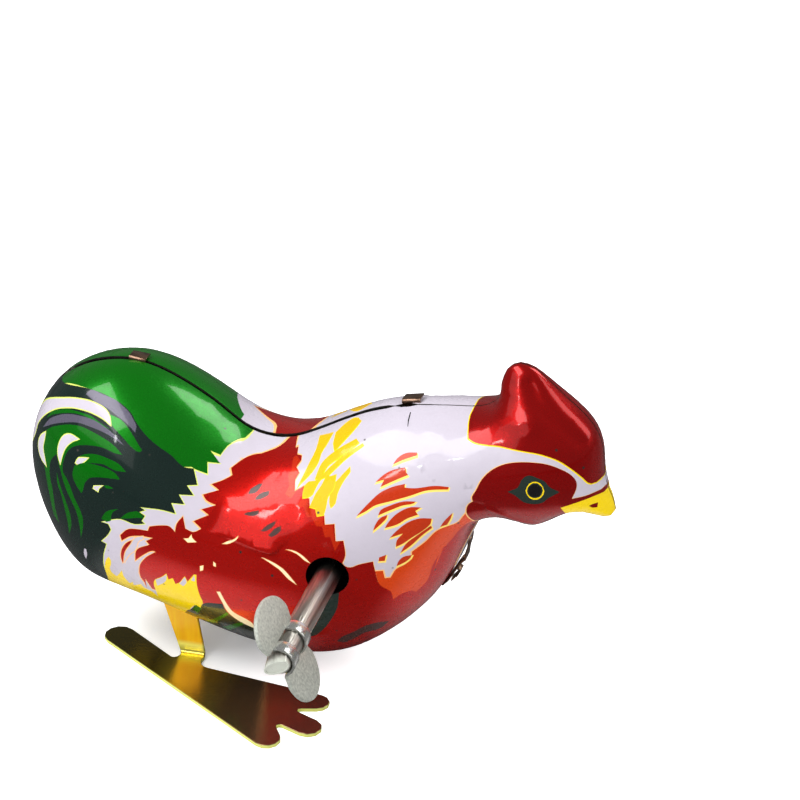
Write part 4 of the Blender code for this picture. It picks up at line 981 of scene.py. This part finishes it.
def lithoMaterial():
    # Printed colour from the mesh, with the shine of the tin in its alpha, under a wavy, dusty lacquer.
    form = lithoForm
    material, tree, shader, place = newMaterial("litho lacquer")
    paint = addNode(tree, "Attribute", {}, attribute_name="paint")
    cloud = mottled(tree, place, *form["clouds"])
    toned = mixed(tree, 1.0, (paint, "Color"), cloud, "MULTIPLY")
    specked = {"Vector": place, "Size": form["dustSize"], "Amount": form["dustAmount"]}
    dust = addNode(tree, "Group", specked, node_tree=specks)
    waves = bumped(tree, place, *form["waves"])
    fill(tree, shader, {
        "Base Color": mixed(tree, dust, toned, form["dust"]), "Metallic": (paint, "Alpha"),
        "Roughness": ramp(tree, (cloud, "Clouds"), 0.0, 1.0, *form["roughness"]),
        "Normal": waves, "Coat Normal": waves, **form["shader"]})
    return material


def metalMaterial(name, one, two, roughness, metallic=1.0, scale=400.0, grain=0.1, along=1.0):
    # The pattern is drawn out in Y where along is below 1.
    material, tree, shader, place = newMaterial(name)
    drawn = addNode(tree, "Mapping", {"Vector": place, "Scale": (1.0, along, 1.0)})
    cloud = mottled(tree, drawn, scale, one, two)
    rough = ramp(tree, (cloud, "Clouds"), 0.0, 1.0, roughness * 0.8, roughness * 1.25)
    fill(tree, shader, {"Base Color": cloud, "Roughness": rough, "Metallic": metallic,
                        "Normal": bumped(tree, drawn, scale * 4, 3.0, grain, 0.0002)})
    return material


tubeForm = {  # places along Y in metres
    # Between these places the tube darkens towards the body as painted shade.
    "paintedShadeTo": toyOrigin.y - 0.016, "unshadedFrom": toyOrigin.y - 0.027, "paintedShade": 0.12,
    "tipFrom": toyOrigin.y - 0.0425, "tipTo": toyOrigin.y - 0.0434, "tip": (0.55, 0.57, 0.5, 1),
    "tipMetal": 0.1,
    "steel": ((0.78, 0.75, 0.67), (0.2, 0.18, 0.16), 0.34, 1.0, 1400.0, 0.5, 0.03),
}


def tubeMaterial():
    # Drawn steel, darkened near the body as painted shade, and pale with zinc at its pinched end.
    form = tubeForm
    material = metalMaterial("drawn plated steel", *form["steel"])
    tree = material.node_tree
    shader = tree.nodes["Principled BSDF"]
    drawn = shader.inputs["Base Color"].links[0].from_node
    split = addNode(tree, "SeparateXYZ", {"Vector": (tree.nodes["Texture Coordinate"], "Object")})
    # Painted shade: the tube darkens towards the key hole, where it goes into the body.
    paintedShade = ramp(tree, (split, "Y"), form["unshadedFrom"], form["paintedShadeTo"], 1.0, form["paintedShade"])
    tip = ramp(tree, (split, "Y"), form["tipTo"], form["tipFrom"], 1.0, 0.0)
    dark = mixed(tree, 1.0, drawn, paintedShade, "MULTIPLY")
    fill(tree, shader, {"Base Color": mixed(tree, tip, dark, form["tip"]),
                        "Metallic": ramp(tree, tip, 0.0, 1.0, 1.0, form["tipMetal"])})
    return material


passiveAndReflectionForm = {  # lengths in metres
    "heel": toyOrigin.x - 0.016, "toe": toyOrigin.x + 0.026,  # between these the sole's tones run
    # Partly the passivation's olive and brown, partly painted light: the bright band is a painted reflection
    # of the leg, the dark heel a painted dark reflection.
    "tones": ((0.0, (0.12, 0.1, 0.02)), (0.26, (0.1, 0.085, 0.025)), (0.36, (0.7, 0.55, 0.06)),
              (0.5, (0.5, 0.34, 0.06)), (0.62, (0.26, 0.15, 0.07)), (1.0, (0.3, 0.16, 0.11))),
    "drift": (110.0, (1.15, 1.05, 0.9), (0.75, 0.8, 1.0), 0.35),
    # The leg over the sole, from its foot up.
    "leg": (0.0009, 0.0022), "legTone": (1500.0, (1.0, 0.62, 0.015), (0.92, 0.42, 0.01), 0.25),
    # The painted highlight along the fold between them, as shares of its room over the table.
    "foldRoom": 0.004, "fold": ((0.18, 0.0), (0.28, 1.0), (0.55, 1.0), (0.75, 0.0)),
    "foldTone": (1.0, 0.93, 0.2, 1),
    # The cut edge of the sole is tinted lime as a painted reflection of the bright table.
    "edge": (0.00056, 0.00068), "edgeReflectionTone": (0.8, 0.82, 0.22, 1),  # the cut edge of the sole
    "metal": (0.9, 0.15), "edgeLess": 0.6,  # on the sole and the leg, and how much less on the edge
    "stretch": 0.08, "grain": (2600.0, 3.0, 0.12, 0.0002), "roughness": (0.16, 0.24), "specular": 0.4,
}


def passivatedWithReflectionsMaterial():
    # Yellow zinc passivation: golden legs, and soles that turn olive, yellow and brown towards the toes. On
    # the soles the yellow band is a painted reflection of the leg and the dark heel a painted dark reflection.
    # The fold carries a painted highlight and the cut edge a painted reflection.
    form = passiveAndReflectionForm
    material, tree, shader, place = newMaterial("yellow passivated steel")
    split = addNode(tree, "SeparateXYZ", {"Vector": place})
    stretch = addNode(tree, "Mapping", {"Vector": place, "Scale": (1.0, 1.0, form["stretch"])})
    warm = mottled(tree, stretch, *form["legTone"])
    drift = mottled(tree, place, *form["drift"])
    soleWithPaintedReflections = toneRamp(tree, ramp(tree, (split, "X"), form["heel"], form["toe"]), form["tones"])
    leg = ramp(tree, (split, "Z"), *form["leg"])
    fold = toneRamp(tree, ramp(tree, (split, "Z"), 0.0, form["foldRoom"]),
                    [(spot, (value,) * 3) for spot, value in form["fold"]])
    cut = ramp(tree, (split, "Z"), *form["edge"], 1.0, 0.0)
    colour = mixed(tree, leg, mixed(tree, 1.0, soleWithPaintedReflections, drift, "MULTIPLY"), warm)
    # Painted highlight along the fold between leg and sole.
    colour = mixed(tree, fold, colour, form["foldTone"])
    metal, less = ramp(tree, leg, 0.0, 1.0, *form["metal"]), ramp(tree, cut, 0.0, 1.0, 0.0, form["edgeLess"])
    fill(tree, shader, {
        "Base Color": mixed(tree, cut, colour, form["edgeReflectionTone"]),
        "Metallic": calculated(tree, "SUBTRACT", metal, less, use_clamp=True),
        "Roughness": ramp(tree, (drift, "Clouds"), 0.0, 1.0, *form["roughness"]),
        "Specular IOR Level": form["specular"], "Normal": bumped(tree, stretch, *form["grain"])})
    return material


# The toy

print("bulging the body")
bodyField = BodyField(shellForm)
print("laying out the print")
specks, mottle = makeSpeckGroup(), makeMottleGroup()
litho = lithoMaterial()
bareTin = metalMaterial("bare tin rim", (0.55, 0.53, 0.48), (0.4, 0.38, 0.34), 0.35)
# The lining's near-black colour is painted shade, so the key hole and the seam show dark.
shadedLiningTin = metalMaterial("inner varnish", (0.12, 0.12, 0.13), (0.08, 0.08, 0.08), 0.5, metallic=0.1)
for name, side, pictures in (("shell_right", -1, plumage), ("shell_left", 1, plumage + farPlumage)):
    bodyLayout = paintLayout(bodyField, pictures)
    print("triangles on", name, len(bodyLayout[1]))
    shell = bodyShell(name + "_litho", side, bodyField, bodyLayout, (litho, shadedLiningTin, bareTin))
    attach(shell, "frame")
    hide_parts(name)

print("winding key, feet and seam tabs")
zinc = metalMaterial("galvanised steel", (0.66, 0.68, 0.6), (0.4, 0.42, 0.37), 0.4, metallic=0.45,
                     scale=2400.0, grain=0.5)
strapZinc = metalMaterial("pressed strap steel", (0.72, 0.72, 0.68), (0.5, 0.51, 0.48), 0.2, metallic=0.85,
                          scale=900.0)
plated = tubeMaterial()
tabTin = metalMaterial("seam tab tin", (0.5, 0.3, 0.2), (0.12, 0.08, 0.06), 0.3, scale=600.0)
steel = metalMaterial("plain steel", (0.5, 0.49, 0.47), (0.3, 0.29, 0.28), 0.35)
blued = metalMaterial("spring steel", (0.12, 0.13, 0.16), (0.2, 0.17, 0.12), 0.3)
brass = metalMaterial("brass", (0.75, 0.55, 0.22), (0.55, 0.38, 0.14), 0.3)
passivatedWithReflections = passivatedWithReflectionsMaterial()
addKeyTube(plated)
addKeyBlades(zinc, strapZinc)
addTabs(tabTin)
addClip(tabTin)
for name in ("right_foot", "left_foot"):
    addFoot(name, passivatedWithReflections)
finishes = {  # all other solids are of plain steel
    "key_tube": plated, "key_blade": zinc, "left_foot": passivatedWithReflections, "right_foot": passivatedWithReflections,
    "mainspring": blued, "great_wheel": brass, "second_wheel": brass, "crank_disc": brass,
}
for name, node in frame["nodes"].items():
    node.data.materials.clear()
    node.data.materials.append(finishes.get(name, steel))


# Studio

print("studio")
scene = bpy.context.scene
# The camera as settled on the photograph: angles in degrees, distance and sensor in mm; focal length, frame
# and the place where the toy's origin shows in pixels.
view = {"azimuth": 15.2, "elevation": 28.3, "distance": 525, "focal": 3224, "frame": 800, "foot": (208, 631),
        "sensor": 36}


def directionTo(azimuth, elevation):
    # From the toy, with azimuth counted from straight in front of its right side.
    az, el = radians(azimuth), radians(elevation)
    return Vector((sin(az) * cos(el), -cos(az) * cos(el), sin(el)))


back = directionTo(view["azimuth"], view["elevation"])
right = directionTo(view["azimuth"] + 90, 0)
up = back.cross(right)
across, down = ((view["foot"][k] - view["frame"] / 2) / view["focal"] for k in (0, 1))
lens = bpy.data.cameras.new("camera")
lens.sensor_width, lens.lens = view["sensor"], view["focal"] / view["frame"] * view["sensor"]
lens.clip_start, lens.clip_end = 0.01, 20
camera = addObject("camera", lens)
spot = toyOrigin - view["distance"] * mm * (across * right - down * up - back)
camera.matrix_world = Matrix.Translation(spot) @ Matrix((right, up, back)).transposed().to_4x4()
scene.camera = camera

tableForm = {  # spots on the toy in mm, other lengths in metres
    "size": 6, "tones": (3.0, (0.86, 0.86, 0.87), (0.83, 0.83, 0.84)), "roughness": 0.6,
    # The gloss sees the table only near the legs and under the chin: spot, full to, gone from, brightness.
    "gloss": (((-3, -24, 0), 0.014, 0.03, 0.75), ((55, 2, 0), 0.014, 0.026, 0.6)), "glossElsewhere": 0.08,
    # The camera sees it white but for the body's shadow: spot, full to, gone from, glow in it and beyond.
    "shadow": ((3, 2, 0), 0.006, 0.026, 0.2, 0.85),
}
bpy.ops.mesh.primitive_plane_add(size=tableForm["size"], location=(0, 0, 0))
floor = bpy.context.object
floor.name = "floor"
pale, tree, shader, place = newMaterial("pale table")
rays = addNode(tree, "LightPath", {})


def fadeFrom(spot, inner, outer, inside, outside):
    far = addNode(tree, "VectorMath", {0: place, 1: toyOrigin + Vector(spot) * mm}, operation="DISTANCE")
    return ramp(tree, (far, "Value"), inner, outer, inside, outside)


cloud = mottled(tree, place, *tableForm["tones"])
fades = [fadeFrom(*zone, tableForm["glossElsewhere"]) for zone in tableForm["gloss"]]
near = calculated(tree, "MAXIMUM", *fades)
seen = addNode(tree, "Mix", {"Factor": (rays, "Is Glossy Ray"), 2: 1.0, 3: near}, data_type="FLOAT")
glow = calculated(tree, "MULTIPLY", (rays, "Is Camera Ray"), fadeFrom(*tableForm["shadow"]))
fill(tree, shader, {
    "Base Color": mixed(tree, 1.0, cloud, seen, "MULTIPLY"), "Roughness": tableForm["roughness"],
    "Emission Color": (1, 1, 1, 1), "Emission Strength": glow})
floor.data.materials.append(pale)

lamps = (
    # Name, azimuth and elevation in degrees, distance, width and height in m, power, seen in the gloss.
    ("key softbox", -60, 60, 0.8, 0.80, 0.30, 4.2, True),
    ("key fill", -60, 56, 0.8, 0.80, 0.30, 1.8, False),
    ("low card", -36, 35, 0.8, 0.80, 0.28, 0.65, True),
    ("bright spot", -21.3, 38.9, 0.8, 0.03, 0.09, 0.22, True),
    ("right card", 105, 32, 0.8, 0.25, 0.55, 1.2, True),
    ("front fill", -5, 12, 0.9, 0.6, 0.3, 1.0, False),
    ("rear window", 143, 43, 0.9, 0.30, 0.34, 1.9, True),
    ("overhead", 20, 75, 1.3, 1.2, 1.2, 2.4, False),
)
middle = toyOrigin + Vector((20, 0, 28)) * mm  # of the toy, which all lamps face
for name, az, el, far, width, height, power, glossy in lamps:
    toward = directionTo(az, el)
    light = bpy.data.lights.new(name, "AREA")
    light.shape, light.size, light.size_y, light.energy = "RECTANGLE", width, height, power
    lamp = addObject(name, light)
    lamp.visible_glossy = glossy
    turned = toward.to_track_quat("Z", "Y").to_matrix().to_4x4()
    lamp.matrix_world = Matrix.Translation(middle + toward * far) @ turned
world = bpy.data.worlds.new("studio")
world.use_nodes = True
tree = world.node_tree
rays = addNode(tree, "LightPath", {})
roomLight = (0.52, 0.16)  # to the eye, and darker in the gloss
dim = ramp(tree, (rays, "Is Glossy Ray"), 0.0, 1.0, *roomLight)
fill(tree, tree.nodes["Background"], {"Color": (1, 1, 1, 1), "Strength": dim})
scene.world = world
scene.view_settings.view_transform = "Standard"  # the photograph's plain, vivid colours
